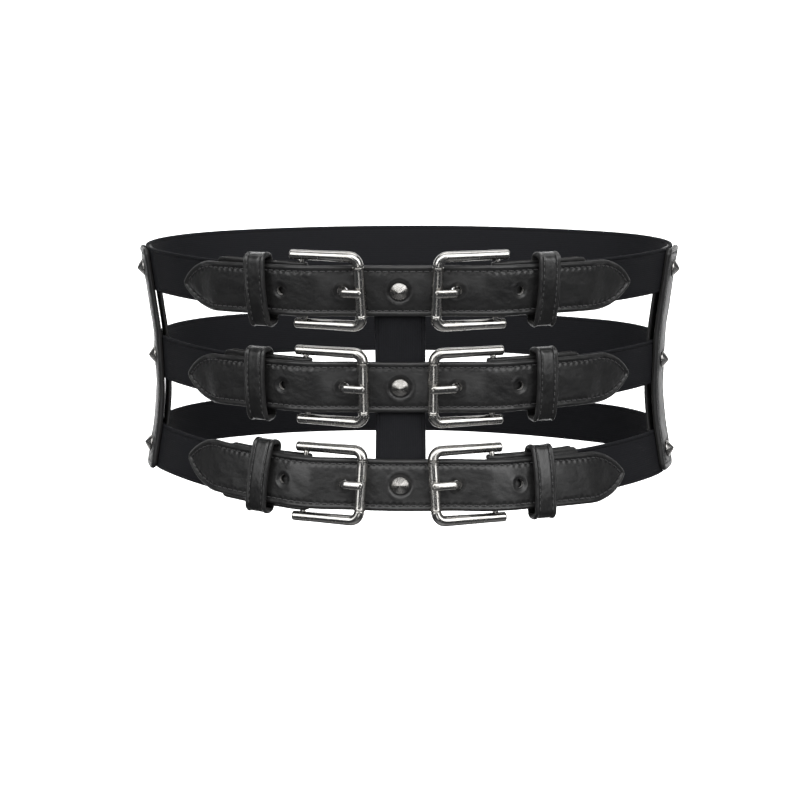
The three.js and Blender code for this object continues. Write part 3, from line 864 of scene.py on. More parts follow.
# %% [markdown]
# ## Seats for hard pieces
# Buckles and studs don't bend with the leather. Each of them gets a seat instead: a point with three
# directions, taken from the strap or the band where the piece lies.

# %% Seats for hard pieces
def basis(origin, ahead, across):
    """A seat at the origin: X ahead, Z square to X and to across, and Y square to both."""
    x = unit(ahead)
    z = unit(np.cross(x, across))
    return origin, np.stack([x, np.cross(z, x), z])


def seat(lay, at, level, side):
    """A seat on the belt: X away from the front centre, Z straight out. Both directions are taken from
    places half a millimetre either way."""
    ahead = lay(at + 0.5, 0.0, level) - lay(at - 0.5, 0.0, level)
    across = lay(at, 0.5, level) - lay(at, -0.5, level)
    return basis(lay(at, 0.0, level), ahead * side, across * side)


def seated(skin, seat_at):
    """A skin with its X, Y and Z laid along the directions of a seat."""
    origin, axes = seat_at
    return {**skin, "points": origin + skin["points"] @ axes}


def moved(seat_at, ahead):
    """The same seat, this far along its own X."""
    origin, axes = seat_at
    return origin + ahead * axes[0], axes


def bar_along(row, side):
    """The pivot bar's place on the strap: the roller's, plus the root of reach² - rise²."""
    rise = ROLLER_LEVEL - BAR_LEVEL
    return HALVES[row, side]["roller"] + math.sqrt(BUCKLE["reach"] ** 2 - rise**2)


def buckle_seat(row, side):
    """X from the roller to the pivot bar at the origin, Z outwards."""
    at = side * bar_along(row, side)
    bar = chape_place(row, at, 0.0, BAR_LEVEL)
    roller = strap_place(row, side * HALVES[row, side]["roller"], 0.0, ROLLER_LEVEL)
    above = chape_place(row, at, float(side), BAR_LEVEL)
    return basis(bar, bar - roller, above - bar)


print("pivot bars at", [round(bar_along(row, side), 1) for row, side in HALVES], "mm from the centre")

# %% [markdown]
# ## Round skins
# Wire, tubes and turned parts are all rings of points. A wire's rings follow a path, and a lathe's
# work is one profile carried round an axis, so two short functions serve every metal piece.

# %% Round skins
def tube_skin(rings, loop=False):
    """rings: (stations, points round, 3). A loop closes on itself, and any other tube gets two poles."""
    count, around = rings.shape[:2]
    points = rings.reshape(-1, 3)
    if loop:
        numbers = ring_numbers(count, around)
        return outwards(make_skin(points, [table_faces(np.concatenate([numbers, numbers[:1]]))]))
    poles = np.stack([rings[0].mean(0), rings[-1].mean(0)])
    return outwards(make_skin(np.concatenate([points, poles]), tube_faces(count, around)))


def turned(profile, around, loop=False):
    """A lathe's work: each (radius, height) pair of the profile carried round Z."""
    turn = 2 * math.pi * np.arange(around) / around
    radius, height = profile[:, :1], profile[:, 1:]
    rings = np.stack([radius * np.cos(turn), radius * np.sin(turn), height + 0 * turn], -1)
    return tube_skin(rings, loop)


def laid_along_y(skin):
    """A turned skin with its axis along Y. To swap two axes mirrors it, so its faces are checked again."""
    return outwards({**skin, "points": skin["points"][:, [0, 2, 1]]})


# %% [markdown]
# ## Punched holes
# A maker punches holes after the strap is cut and sewn. The Boolean modifier does the same work: the
# punch is a plain closed solid, and its finish goes over to the walls of the hole. The result is kept
# as the piece's mesh at once, so that nothing is left to be worked out later.

# %% Punched holes
PUNCH_DEPTH = 8
SHARP_ANGLE = 50


def slot_punch(length, width, seat_at, around=24):
    """A long hole's punch along X: a circle pulled apart in the middle, as deep both ways."""
    turn = 2 * math.pi * (np.arange(around) + 0.5) / around
    ring = np.stack([np.cos(turn), np.sin(turn), 0 * turn], -1) * width / 2
    ring[:, 0] += np.sign(ring[:, 0]) * (length - width) / 2
    depth = np.array([0, 0, PUNCH_DEPTH])
    return seated(tube_skin(np.stack([ring - depth, ring + depth])), seat_at)


def round_punch(width, seat_at):
    """A round hole's punch: a long one that is as long as it is wide."""
    return slot_punch(width, width, seat_at)


def punched(piece, *punches):
    """Cuts all the punches out of a piece, and gives the hole's rim a sharp edge."""
    cutter = make_object("cutter", joined(*punches), cut_core)
    cut = piece.modifiers.new("cut", "BOOLEAN")
    cut.operation = "DIFFERENCE"
    cut.solver = "MANIFOLD"
    cut.material_mode = "TRANSFER"
    cut.object = cutter
    graph = bpy.context.evaluated_depsgraph_get()
    mesh = bpy.data.meshes.new_from_object(piece.evaluated_get(graph))
    mesh.set_sharp_from_angle(angle=math.radians(SHARP_ANGLE))
    print(piece.name, "faces", len(piece.data.polygons), "->", len(mesh.polygons))
    piece.modifiers.clear()
    piece.data = mesh
    bpy.data.objects.remove(cutter)


# %% [markdown]
# ## The outline of a front strap
# The pointed ends are two arcs that a small round nose joins. The distance from the outline is known
# exactly on each of these parts, so the bead and the seam follow the point without being modelled again.

# %% The outline of a front strap
point_half = STRAP["width"] / 2
point_fall = point_half - STRAP["blunt"]
point_radius = (STRAP["point"] ** 2 + point_fall**2) / (2 * point_fall)
arc_drop = point_radius - point_half
nose = STRAP["nose"]
nose_centre = math.sqrt((point_radius - nose) ** 2 - arc_drop**2)
nose_turn = math.atan2(nose_centre, arc_drop)
seam_radius = point_radius - STITCH["inset"]


def shoulder(row, side):
    """Where a half's straight edges end and its point begins: the tip less the point's length."""
    return HALVES[row, side]["tip"] - STRAP["point"]


def past_shoulder(row, x):
    """How far a place lies past the shoulder of its half, and less than 0 on the straight part."""
    return np.abs(x) - np.where(x < 0, shoulder(row, -1), shoulder(row, 1))


def point_outline():
    """Stations past the shoulder and the half widths there: along the arc, then round the nose."""
    turn = even(0, nose_turn, 0.018)[1:]
    arc = np.stack([point_radius * np.sin(turn), point_radius * np.cos(turn) - arc_drop], -1)
    turn = np.linspace(nose_turn, math.radians(86), 11)[1:]
    return np.concatenate([arc, np.stack([nose_centre + nose * np.sin(turn), nose * np.cos(turn)], -1)])


def strap_outline(row):
    """Stations along a strap and its half widths: one point, the even part, and the other point."""
    left, right = shoulder(row, -1), shoulder(row, 1)
    point = point_outline()
    straight = even(-left, right, 0.6)
    along = np.concatenate([-left - point[::-1, 0], straight, right + point[:, 0]])
    half = np.concatenate([point[::-1, 1], np.full(len(straight), point_half), point[:, 1]])
    return along, half


def strap_distance(row, x, y):
    """Half width less |across| on the straight part, radius less the distance to the centre on arc
    and nose."""
    u, v = past_shoulder(row, x), np.abs(y)
    on_arc = point_radius - np.hypot(u, v + arc_drop)
    on_nose = nose - np.hypot(u - nose_centre, v)
    inside = np.where(np.arctan2(u, v + arc_drop) > nose_turn, on_nose, on_arc)
    return np.where(u <= 0, point_half - v, inside)


def seam_run(row, x, y):
    """The length along the seam from the strap's middle to the place beside (x, y)."""
    u = past_shoulder(row, x)
    turn = np.arctan2(np.maximum(u, 0), np.abs(y) + arc_drop)
    return np.abs(x) - np.maximum(u, 0) + seam_radius * turn


print("point arcs of", round(point_radius, 1), "mm, nose reaches", round(nose_centre + nose, 1), "mm")

# %% [markdown]
# ## The relief of the leather
# The strap is two layers sewn together by the edge. The seam pulls a groove into it, a bead stands up
# outside the groove, and the field inside is slightly padded. Holes and studs press dents into it. All
# of this could be sculpted, but bells and smooth steps of a distance are exact and never miss a place.

# %% The relief of the leather
BEAD = {"height": 0.34, "outside": 1.5, "width": 0.8}
GROOVE = {"depth": 0.58, "width": 0.6}
LIP = {"depth": 0.3, "inside": 1.0, "width": 0.55}
PAD = {"rise": 0.36, "from": 3, "run": 9.5, "sink": 0.3}
DENTS = {"prong": 0.55, "spare": 0.6, "stud": 0.78, "side_stud": 0.74}
DENT_REACH = {"hole": 1.6, "stud": 1.7}


def bell(x, centre, width):
    """1 at the centre, and e to the minus square of the distance in widths elsewhere."""
    return np.exp(-(((x - centre) / width) ** 2))


def stitch_beat(run, pitch):
    """A cosine from 0 to 1 with one crest for each stitch. On the front straps the crests lie beside
    the middles of the stitches."""
    return 0.5 + 0.5 * np.cos(2 * math.pi * run / pitch)


def sewn_edge(distance, run, inset=STITCH["inset"]):
    """A bead outside the seam, a groove under the thread, and a lip inside that each stitch dents."""
    beat = stitch_beat(run, STITCH["pitch"])
    bead = BEAD["height"] * bell(distance, inset - BEAD["outside"], BEAD["width"])
    groove = GROOVE["depth"] * bell(distance, inset, GROOVE["width"]) * (0.45 + 0.55 * beat)
    lip = LIP["depth"] * bell(distance, inset + LIP["inside"], LIP["width"]) * beat
    return bead - groove - lip


def padding(distance):
    """A parabola that has risen to its full height at the end of its run, less what the edge is
    pulled down by."""
    share = np.clip((distance - PAD["from"]) / PAD["run"], 0, 1)
    return PAD["rise"] * (1 - (1 - share) ** 2) - PAD["sink"]


def hole_distance(x, y, length, width):
    """How far a place lies from the wall of a long hole, or of a round one that is as long as wide."""
    return np.hypot(np.maximum(np.abs(x) - (length - width) / 2, 0), y) - width / 2


def dimple(distance, depth, reach):
    """A dent with a flat bottom by the hole, a wall that has risen at reach, and a swollen lip
    outside it."""
    lip = 0.3 * depth * bell(distance, reach + 0.5, 0.6)
    return lip - depth * (1 - smoothstep(distance, 0.3 * reach, reach))


def stud_dimple(x, y, depth):
    """The dent under a stud's rim, which is counted from the rim's own round edge."""
    return dimple(hole_distance(x, y, STUD["diameter"], STUD["diameter"]), depth, DENT_REACH["stud"])


print("the padding lies between", padding(0), "and", round(float(padding(point_half)), 2), "mm")

# %% [markdown]
# ## Ripple, and the whole relief
# Real leather is never quite flat. A few long crossed waves with random phases give that, and a seed
# for each strap keeps them the same at every run. The relief of a front strap is then a plain sum.

# %% Ripple, and the whole relief
WAVES = ((31, 23), (17, 12), (11, 30), (7, 9))
WAVE_HEIGHT = 0.0022


def ripple(x, y, seed):
    """Slow, shallow unevenness of leather: a few crossed waves with their own phases."""
    random = np.random.default_rng(seed)
    total = 0.0
    for length_x, length_y in WAVES:
        phase_x, phase_y = random.uniform(0, 2 * math.pi, 2)
        wave = np.sin(2 * math.pi * x / length_x + phase_x + 2 * math.pi * y / length_y + phase_y)
        total = total + wave * min(length_x, length_y) * WAVE_HEIGHT
    return total


def front_relief(row, seed, x, y, distance):
    """Padding, sewn edge and ripple, with dents round the two prong holes, the spare holes and the stud."""
    run = np.abs(x)
    to_prong = hole_distance(run - PRONG_HOLE["along"], y, PRONG_HOLE["length"], PRONG_HOLE["width"])
    to_spare = hole_distance(run - SPARE_HOLE["along"], y, SPARE_HOLE["width"], SPARE_HOLE["width"])
    total = padding(distance) + sewn_edge(distance, seam_run(row, x, y))
    total = total + ripple(x, y, seed) * smoothstep(distance, 1, 5)
    total = total + dimple(to_prong, DENTS["prong"], DENT_REACH["hole"])
    total = total + dimple(to_spare, DENTS["spare"], DENT_REACH["hole"])
    return total + stud_dimple(x, y, DENTS["stud"])


print("ripple at the middle of each strap:", [round(float(ripple(0, 0, seed)), 2) for seed in range(3)])

# %% [markdown]
# ## Front straps
# Each strap is one skin, punched for the stud's post, for both prongs and for the two spare holes.
# Its stitches are counted from the middle outwards, so that they sit in the dents of the relief.

# %% Front straps
THREAD_SUNK = 0.44
SEAM_STOP = 1.2


def front_lay(row, x, y, lift):
    """A point on a front strap, with its lift counted from the middle of the leather."""
    return strap_place(row, x, y, strap_level(x) + STRAP["thickness"] / 2 + lift)


def front_seat(row, at, side, out=0.0):
    """A seat on the strap's inner face, or this far out from it."""
    return seat(partial(strap_place, row), side * at, strap_level(at) + out, side)


def front_stitches(row):
    """Stitches a pitch apart from the middle out to each nose, along both edges. Past the shoulder
    they follow the seam's own arc."""
    starts, ends = [], []
    for side in SIDES:
        straight = shoulder(row, side)
        last = straight + seam_radius * math.acos(arc_drop / seam_radius) - SEAM_STOP
        centres = STITCH["pitch"] * np.arange(0 if side > 0 else 1, int(last / STITCH["pitch"]) + 1)
        for edge in (-1, 1):
            for tips, share in ((starts, -0.5), (ends, 0.5)):
                run = centres + share * STITCH["length"]
                turn = np.maximum(run - straight, 0) / seam_radius
                x = np.minimum(run, straight) + seam_radius * np.sin(turn)
                y = seam_radius * np.cos(turn) - arc_drop
                tips.append(np.stack([side * x, edge * y], -1))
    level = STRAP["thickness"] / 2 - THREAD_SUNK
    return stitches(partial(front_lay, row), np.concatenate(starts), np.concatenate(ends), level)


for seed, row in enumerate(ROWS):
    skin = strip_skin(
        *strap_outline(row),
        strap_shares,
        partial(strap_distance, row),
        partial(front_lay, row),
        STRAP["thickness"],
        partial(front_relief, row, seed),
    )
    strap = make_piece(f"front_strap_piece_{row}", skin, strap_leather, f"front_strap_{row}")
    punches = [round_punch(POST_HOLE, front_seat(row, 0, 1, STRAP["thickness"]))]
    for side in SIDES:
        prong_seat = moved(buckle_seat(row, side), PRONG_HOLE["along"] - bar_along(row, side))
        punches.append(slot_punch(PRONG_HOLE["length"], PRONG_HOLE["width"], prong_seat))
        punches.append(round_punch(SPARE_HOLE["width"], front_seat(row, SPARE_HOLE["along"], side)))
    punched(strap, *punches)
    make_piece(f"front_stitches_{row}", front_stitches(row), waxed_thread)

# %% [markdown]
# ## Elastic bands
# A band is one flat strip from one buckle's chape round the back to the other. It is thin and smooth,
# and a shallow channel inside each edge marks the selvedge.

# %% Elastic bands
SQUARE = 0.01


def band_relief(x, y, distance):
    """Thicker at the selvedge, with a channel beside it, and a very slight crown between."""
    selvedge = 0.1 * bell(distance, 0.9, 0.6) - 0.12 * bell(distance, SELVEDGE, 0.3)
    return selvedge + 0.05 * smoothstep(distance, 2, 8)


def band_lay(row, x, y, lift):
    """A point on a band, with its lift counted from the middle of the elastic."""
    return band_place(row, x, y, BAND_IN + BAND["thickness"] / 2 + lift)


def side_seat(row, side):
    """A seat on the face of a side strap, where its line crosses the row's."""
    return seat(partial(band_place, row), side * SIDE_STRAP["arc"], SIDE_FACE, side)


band_shares = edge_spaced(BAND["width"], near=2.6, step=1.5)
band_half = BAND["width"] / 2
for row in ROWS:
    start = BAND["start"] / strap_stretch(row)
    along = end_spaced(start, 2 * half_loop - start, near=1.0, step=2.1)
    skin = strip_skin(
        along,
        np.full(len(along), band_half),
        band_shares,
        box_distance(along[0], along[-1], band_half, SQUARE),
        partial(band_lay, row),
        BAND["thickness"],
        band_relief,
        radius=0.5,
    )
    band = make_piece(f"elastic_band_piece_{row}", skin, band_elastic, f"elastic_band_{row}")
    punched(band, *(round_punch(POST_HOLE, side_seat(row, side)) for side in SIDES))

# %% [markdown]
# ## Upright straps
# The upright behind the buckles is the same elastic. The side uprights are leather, sewn all round,
# with rounded corners, and a thin plain strap backs each of them on the other side of the bands.

# %% Upright straps
def upright_lay(arc, inner, thickness, radius):
    """A strip that stands on the waist at an arc length, on a layer with an inner level."""
    middle = inner + thickness / 2
    stretch = 1 + middle / radius

    def lay(z, across, lift):
        """The waist's place at that height, with the width across laid along the waist."""
        return place(arc + across / stretch, middle + lift, z)

    return lay


def upright_skin(sizes, lay, thickness, relief, corner, radius=1.0):
    """A strip from the bottom to the top of its sizes, with rounded or nearly square corners."""
    width, low, high = sizes["width"], sizes["bottom"], sizes["top"]
    along = end_spaced(low, high, near=max(corner, 1.0) + 0.5, step=0.8)
    half = rounded_half(along, width / 2, corner)
    distance_of = box_distance(low, high, width / 2, corner)
    shares = edge_spaced(width, near=5.5, step=0.8)
    return strip_skin(along, half, shares, distance_of, lay, thickness, relief, radius)


centre_lay = upright_lay(0, 0, UPRIGHT["thickness"], front_radius)
skin = upright_skin(UPRIGHT, centre_lay, UPRIGHT["thickness"], band_relief, SQUARE, radius=0.6)
centre = make_piece("centre_strap_piece", skin, band_elastic, "centre_strap")
punched(centre, *(round_punch(POST_HOLE, front_seat(row, 0, 1, STRAP["thickness"])) for row in ROWS))

# %% [markdown]
# ## Side straps
# The side straps are sewn all round, so their seam is a closed line: the outline moved in, with its
# corners as quarter circles. The backing is the same strip, thinner and without relief or seam.

# %% Side straps
SIDE_SEAM = {"inset": 3.2, "tightest": 0.8, "sunk": 0.3}


def corner_arcs(half_width, bottom, top, radius, count):
    """The quarter circles of a rounded rectangle as points, from the upper right one to the left."""
    turn = np.linspace(0, math.pi / 2, count)
    right, low, high = half_width - radius, bottom + radius, top - radius
    arcs = []
    for quarter, (x, y) in enumerate(((right, high), (-right, high), (-right, low), (right, low))):
        angle = turn + quarter * math.pi / 2
        arcs.append(np.stack([x + radius * np.cos(angle), y + radius * np.sin(angle)], -1))
    return arcs


def side_seam():
    """The closed line of the stitches in (height, across): the outline moved in by the inset."""
    inset = SIDE_SEAM["inset"]
    radius = max(SIDE_STRAP["corner"] - inset, SIDE_SEAM["tightest"])
    low, high = SIDE_STRAP["bottom"] + inset, SIDE_STRAP["top"] - inset
    line = np.concatenate(corner_arcs(SIDE_STRAP["width"] / 2 - inset, low, high, radius, 6))[:, ::-1]
    return np.concatenate([line, line[:1]])


def side_relief(side, seed, z, across, distance):
    """A flat field, a sewn edge and ripple, with a dent under each of the three studs."""
    total = 0.12 * smoothstep(distance, 3.5, 9) - 0.1 + sewn_edge(distance, z, SIDE_SEAM["inset"])
    total = total + ripple(z, across, seed)
    for row, height in ROWS.items():
        stud_height = height + band_rise(row, side * SIDE_STRAP["arc"])
        total = total + stud_dimple(z - stud_height, across, DENTS["side_stud"])
    return total


for side, name in SIDES.items():
    arc = side * SIDE_STRAP["arc"]
    posts = [round_punch(POST_HOLE, side_seat(row, side)) for row in ROWS]
    lay = upright_lay(arc, FLAP_IN, SIDE_STRAP["thickness"], WAIST["side_radius"])
    relief = partial(side_relief, side, 5 + side)
    skin = upright_skin(SIDE_STRAP, lay, SIDE_STRAP["thickness"], relief, SIDE_STRAP["corner"])
    strap = make_piece(f"side_strap_piece_{name}", skin, strap_leather, f"side_strap_{name}")
    punched(strap, *posts)
    sewing = seam(lay, side_seam(), SIDE_STRAP["thickness"] / 2 - SIDE_SEAM["sunk"])
    make_piece(f"side_stitches_{name}", sewing, waxed_thread)
    lay = upright_lay(arc, 0, BACKING, WAIST["side_radius"])
    skin = upright_skin(SIDE_STRAP, lay, BACKING, None, SIDE_STRAP["corner"], radius=0.6)
    back = make_piece(f"side_backing_piece_{name}", skin, strap_leather, f"side_backing_{name}")
    punched(back, *posts)

# %% [markdown]
# ## Chapes
# A chape is a short leather strip that goes round the buckle's pivot bar and holds the band's end
# between its two leaves. Its path is worked out as a line in the plane of (along, level), and the
# strip is laid on that line with its thickness square to it. The prong's slot is punched through the fold.

# %% Chapes
CHAPE_SEAM = {"near": 3.5, "far": 10.5, "reach": 9.5}


def half_name(row, side):
    """A row's name with a side's, as the pieces of that half carry it."""
    return f"{row}_{SIDES[side]}"


def chape_path(bar):
    """From the inner leaf's end to the bar, half a circle round it, and back out along the outer leaf."""
    run = even(0, CHAPE["length"], 0.8)
    turn = np.linspace(0, math.pi, 18)[1:-1]
    inner = np.stack([bar + run[::-1], np.full(len(run), CHAPE["thickness"] / 2)], -1)
    fold = np.stack([bar - FOLD * np.sin(turn), BAR_LEVEL - FOLD * np.cos(turn)], -1)
    top, low = BAR_LEVEL + FOLD, FLAP_IN + CHAPE["thickness"] / 2
    outer = np.stack([bar + run, top + (low - top) * smoothstep(run, 2, 14)], -1)
    return np.concatenate([inner, fold, outer])


def chape_lay(row, side, path):
    """A strip on a path of (along, level) points, and the path's length."""
    run = run_along(path)
    ahead = np.gradient(path, run, axis=0)

    def lay(x, y, lift):
        """The path's point at that length, plus the lift square to the path there."""
        along, level, ahead_along, ahead_level = (
            np.interp(x, run, values) for values in (*path.T, *ahead.T)
        )
        size = np.hypot(ahead_along, ahead_level)
        along = along - ahead_level / size * lift
        level = level + ahead_along / size * lift
        return chape_place(row, side * along, side * y, level)

    return lay, run[-1]


def chape_relief(x, y, distance):
    """A pressed line close inside the edge."""
    return 0.05 * bell(distance, 0.9, 0.6) - 0.12 * bell(distance, 1.9, 0.35)


def chape_stitches(lay):
    """A box of four seams that closes the leaf over the end of the elastic."""
    near, far, reach = CHAPE_SEAM["near"], CHAPE_SEAM["far"], CHAPE_SEAM["reach"]
    lines = [[(x, -reach), (x, reach)] for x in (near, far)]
    lines += [[(near, y), (far, y)] for y in (-reach, reach)]
    return joined(*(seam(lay, np.array(line), CHAPE["thickness"] / 2) for line in lines))


chape_shares = edge_spaced(CHAPE["width"], near=3.0, step=1.8)
slot_length = CHAPE_SLOT["ahead"] + 2 * BAR_LEVEL
for row, side in HALVES:
    name = half_name(row, side)
    lay, length = chape_lay(row, side, chape_path(bar_along(row, side)))
    along = end_spaced(0, length, near=CHAPE["corner"] + 0.5, step=0.8)
    skin = strip_skin(
        along,
        rounded_half(along, CHAPE["width"] / 2, CHAPE["corner"]),
        chape_shares,
        box_distance(0, length, CHAPE["width"] / 2, CHAPE["corner"]),
        lay,
        CHAPE["thickness"],
        chape_relief,
        radius=0.6,
    )
    piece = make_piece(f"chape_piece_{name}", skin, strap_leather, f"chape_{name}")
    slot_seat = moved(buckle_seat(row, side), CHAPE_SLOT["ahead"] - slot_length / 2)
    punched(piece, slot_punch(slot_length, CHAPE_SLOT["width"], slot_seat))
    make_piece(f"chape_stitches_{name}", chape_stitches(lay), waxed_thread)

# %% [markdown]
# ## The loop of a keeper
# A keeper is a closed leather loop with a raised rim along both edges and a seam inside each rim. Two
# rounded rectangles, the loop's outer and inner side, are given the same number of points, and the
# leather fills the space between each pair of points. Its front bows out over the strap.

# %% The loop of a keeper
KEEPER_BOW = 2.2
KEEPER_SEAM = {"inset": 2.3, "pitch": 2.9, "length": 2.2, "sunk": 0.32}
INNER_CORNER = 1.2
RUN_POINTS = (26, 5)


def rounded_loop(half_width, bottom, top, radius):
    """A rounded rectangle as points: four quarter circles and the straight runs that join them."""
    corners = corner_arcs(half_width, bottom, top, radius, 9)
    points = []
    for i, corner in enumerate(corners):
        following = corners[(i + 1) % 4][0]
        share = np.linspace(0, 1, RUN_POINTS[i % 2] + 2)[1:-1, None]
        points += [corner, corner[-1] + (following - corner[-1]) * share]
    return np.concatenate(points)


def keeper_crown(y):
    """How far the front bows out: the bow at its middle, and 0 at the loop's two ends, as a parabola."""
    return KEEPER_BOW * (1 - (2 * y / KEEPER["height"]) ** 2)


def keeper_relief(distance, run, rim, face):
    """A bead by the edge where the rim stands up, and a groove that the stitches dent on the face."""
    bead = 0.45 * bell(distance, 1.0, 0.65) * rim
    groove = 0.4 * bell(distance, KEEPER_SEAM["inset"], 0.5) * face
    return bead - groove * (0.6 + 0.4 * stitch_beat(run, KEEPER_SEAM["pitch"]))


def keeper_skin():
    """Across the loop's length, the leather lies between the inner and the outer loop, times edge_round."""
    half, wall, roof = KEEPER["height"] / 2, KEEPER["thickness"], KEEPER_ROOF
    floor = BAND_IN + (BAND["thickness"] - KEEPER["back"]) / 2
    waist = (floor + roof) / 2
    outer = rounded_loop(half, floor, roof, KEEPER["corner"])
    inner = rounded_loop(half - wall, floor + KEEPER["back"], roof - wall, INNER_CORNER)
    front = smoothstep(outer[:, 1], waist, roof)
    outer[:, 1] += front * keeper_crown(outer[:, 0])
    inner[:, 1] += smoothstep(inner[:, 1], waist, roof - wall) * keeper_crown(inner[:, 0])
    middle, reach = (outer + inner) / 2, (outer - inner) / 2
    run = np.cumsum(np.linalg.norm(np.roll(middle, -1, 0) - middle, axis=1))[:, None]
    across = edge_spaced(KEEPER["length"], near=3.4, step=0.5) * KEEPER["length"] / 2
    distance = KEEPER["length"] / 2 - np.abs(across)
    rim = smoothstep(outer[:, 1:], floor + 1.5, waist)
    raised = keeper_relief(distance, run, rim, front[:, None])
    lift = edge_round(distance, 0.8)
    grown = lift * (1 + raised / np.linalg.norm(reach, axis=1)[:, None])
    sides = []
    for share in (grown, -lift * np.ones_like(grown)):
        section = middle[:, None] + reach[:, None] * share[..., None]
        x = np.broadcast_to(across, share.shape)
        sides.append(np.stack([x, section[..., 0], section[..., 1] - FLAP_OUT], -1))
    border = np.zeros(grown.shape, bool)
    border[:, [0, -1]] = True
    strip = np.stack(np.broadcast_arrays(run, across, distance), -1)
    return two_faced(*sides, strip, border, loop=True)


keeper = keeper_skin()
print("a keeper's loop has", len(keeper["points"]), "points")

# %% [markdown]
# ## Keepers
# All six keepers are the same loop, each on the seat of its own half. Their stitches are laid on the
# front's bow, in the loop's own frame, and go to the seat with it.

# %% Keepers
def keeper_lay(x, y, level):
    """On the loop's front, in its own frame: x up the loop, y along the belt."""
    return np.stack(np.broadcast_arrays(y, x, KEEPER_ROOF - FLAP_OUT + keeper_crown(x) + level), -1)


def keeper_stitches():
    """A seam inside each edge of the front, from corner to corner."""
    inset, reach = KEEPER["length"] / 2 - KEEPER_SEAM["inset"], KEEPER["height"] / 2 - KEEPER["corner"]
    lines = [np.array([[-reach, side * inset], [reach, side * inset]]) for side in SIDES]
    sizes = (-KEEPER_SEAM["sunk"], KEEPER_SEAM["pitch"], KEEPER_SEAM["length"])
    return joined(*(seam(keeper_lay, line, *sizes) for line in lines))


keeper_sewing = keeper_stitches()
for row, side in HALVES:
    name = half_name(row, side)
    keeper_seat = seat(partial(strap_place, row), side * HALVES[row, side]["keeper"], FLAP_OUT, side)
    loop = seated(keeper, keeper_seat)
    sewing = seated(keeper_sewing, keeper_seat)
    make_piece(f"keeper_piece_{name}", loop, keeper_leather, f"keeper_{name}")
    make_piece(f"keeper_stitches_{name}", sewing, waxed_thread)

# %% [markdown]
# ## The wire of a buckle
# The frame is one bent wire: two legs, two round corners and a thinner core that carries the roller.
# A path of points with a heading and a radius at each says all of that, and a ring of points is
# carried along it. The pivot bar is a plain rod between the legs' ends.

# %% The wire of a buckle
WIRE = {"cut": 0.9, "over": 0.1, "swell": 0.2, "around": 28}
NECK = {"along": (0.1, 0.25, 0.4, 0.6), "share": (0.93, 0.6, 0.15, 0)}


def wire_path():
    """(x, y, heading, radius) from one leg's cut end round both corners to the other.
    Half of it is the leg, a quarter circle and the neck down to the core, and the rest is its mirror."""
    leg_y = (BUCKLE["opening"] + BUCKLE["wire"]) / 2
    corner_x = BUCKLE["bend"] - BUCKLE["reach"]
    cut = WIRE["cut"] * np.linspace(0, 1, 7) ** 2
    leg = np.concatenate([BUCKLE["tail"] - cut, even(BUCKLE["tail"] - 1.2, corner_x, 0.9)])
    turn = np.linspace(0, math.pi / 2, 18)[1:]
    neck = len(NECK["along"])
    x = np.concatenate([leg, corner_x - BUCKLE["bend"] * np.sin(turn), np.full(neck, -BUCKLE["reach"])])
    corner_y = BUCKLE["bend"] * (1 - np.cos(turn)) - leg_y
    neck_y = BUCKLE["bend"] - leg_y + np.array(NECK["along"])
    y = np.concatenate([np.full(len(leg), -leg_y), corner_y, neck_y])
    heading = np.concatenate([np.full(len(leg), math.pi), math.pi - turn, np.full(neck, math.pi / 2)])
    wire, core = BUCKLE["wire"] / 2 + WIRE["over"], BUCKLE["core"] / 2
    radius = wire + WIRE["swell"] * smoothstep(-x, 5, 25)
    radius[: len(cut)] *= 0.55 + 0.45 * edge_round(cut, WIRE["cut"])
    radius[-neck:] = core + (radius[-neck:] - core) * NECK["share"]
    half = np.stack([x, y, heading, radius], -1)
    other = half[::-1] * [1, -1, 1, 1]
    other[:, 2] = math.pi - half[::-1, 2]
    return np.concatenate([half, other])


def wire_skin():
    """A ring at each place of the path, square to its heading."""
    x, y, heading, radius = (v[:, None] for v in wire_path().T)
    turn = 2 * math.pi * np.arange(WIRE["around"]) / WIRE["around"]
    offset, up = radius * np.cos(turn), radius * np.sin(turn)
    return tube_skin(np.stack([x - np.sin(heading) * offset, y + np.cos(heading) * offset, up], -1))


def bar_skin():
    """The pivot bar along Y, its ends inside the legs."""
    reach = (BUCKLE["opening"] + BUCKLE["wire"]) / 2
    profile = np.array([[BUCKLE["bar"] / 2, y] for y in np.linspace(-reach, reach, 12)])
    return laid_along_y(turned(profile, 24))


buckle_wire = joined(wire_skin(), bar_skin())
print("a buckle's wire has", len(buckle_wire["points"]), "points")

# %% [markdown]
# ## The roller
# The roller is a short tube that turns on the core, so the strap slides in easily. Its section is a thin
# rounded rectangle beside the axis, with a rolled bead at each end.

# %% The roller
ROLL = {"edge": 0.35, "wall": 0.1, "bead_in": 0.7, "bead_width": 0.35}


def roller_skin():
    """The section's outer wall, its two round edges and the bore, carried round the roller's axis."""
    outer, inner, end = ROLLER["diameter"] / 2, BUCKLE["core"] / 2 + GAP, ROLLER["length"] / 2
    turn = np.linspace(0, math.pi / 2, 6)
    edge = np.array([outer, end]) - ROLL["edge"] * (1 - np.stack([np.cos(turn), np.sin(turn)], -1))
    flat = end - ROLL["edge"] - 0.01
    run = np.linspace(-flat, flat, 40)
    bead = ROLL["wall"] * bell(np.abs(run), end - ROLL["bead_in"], ROLL["bead_width"])
    wall = np.stack([outer - ROLL["wall"] + bead, run], -1)
    bore = np.array([[inner, end - 0.1], [inner, 0], [inner, 0.1 - end]])
    section = np.concatenate([edge[::-1] * [1, -1], wall, edge, bore])
    return laid_along_y(turned(section, 40, loop=True))


roller = roller_skin()
print("a roller has", len(roller["points"]), "points")

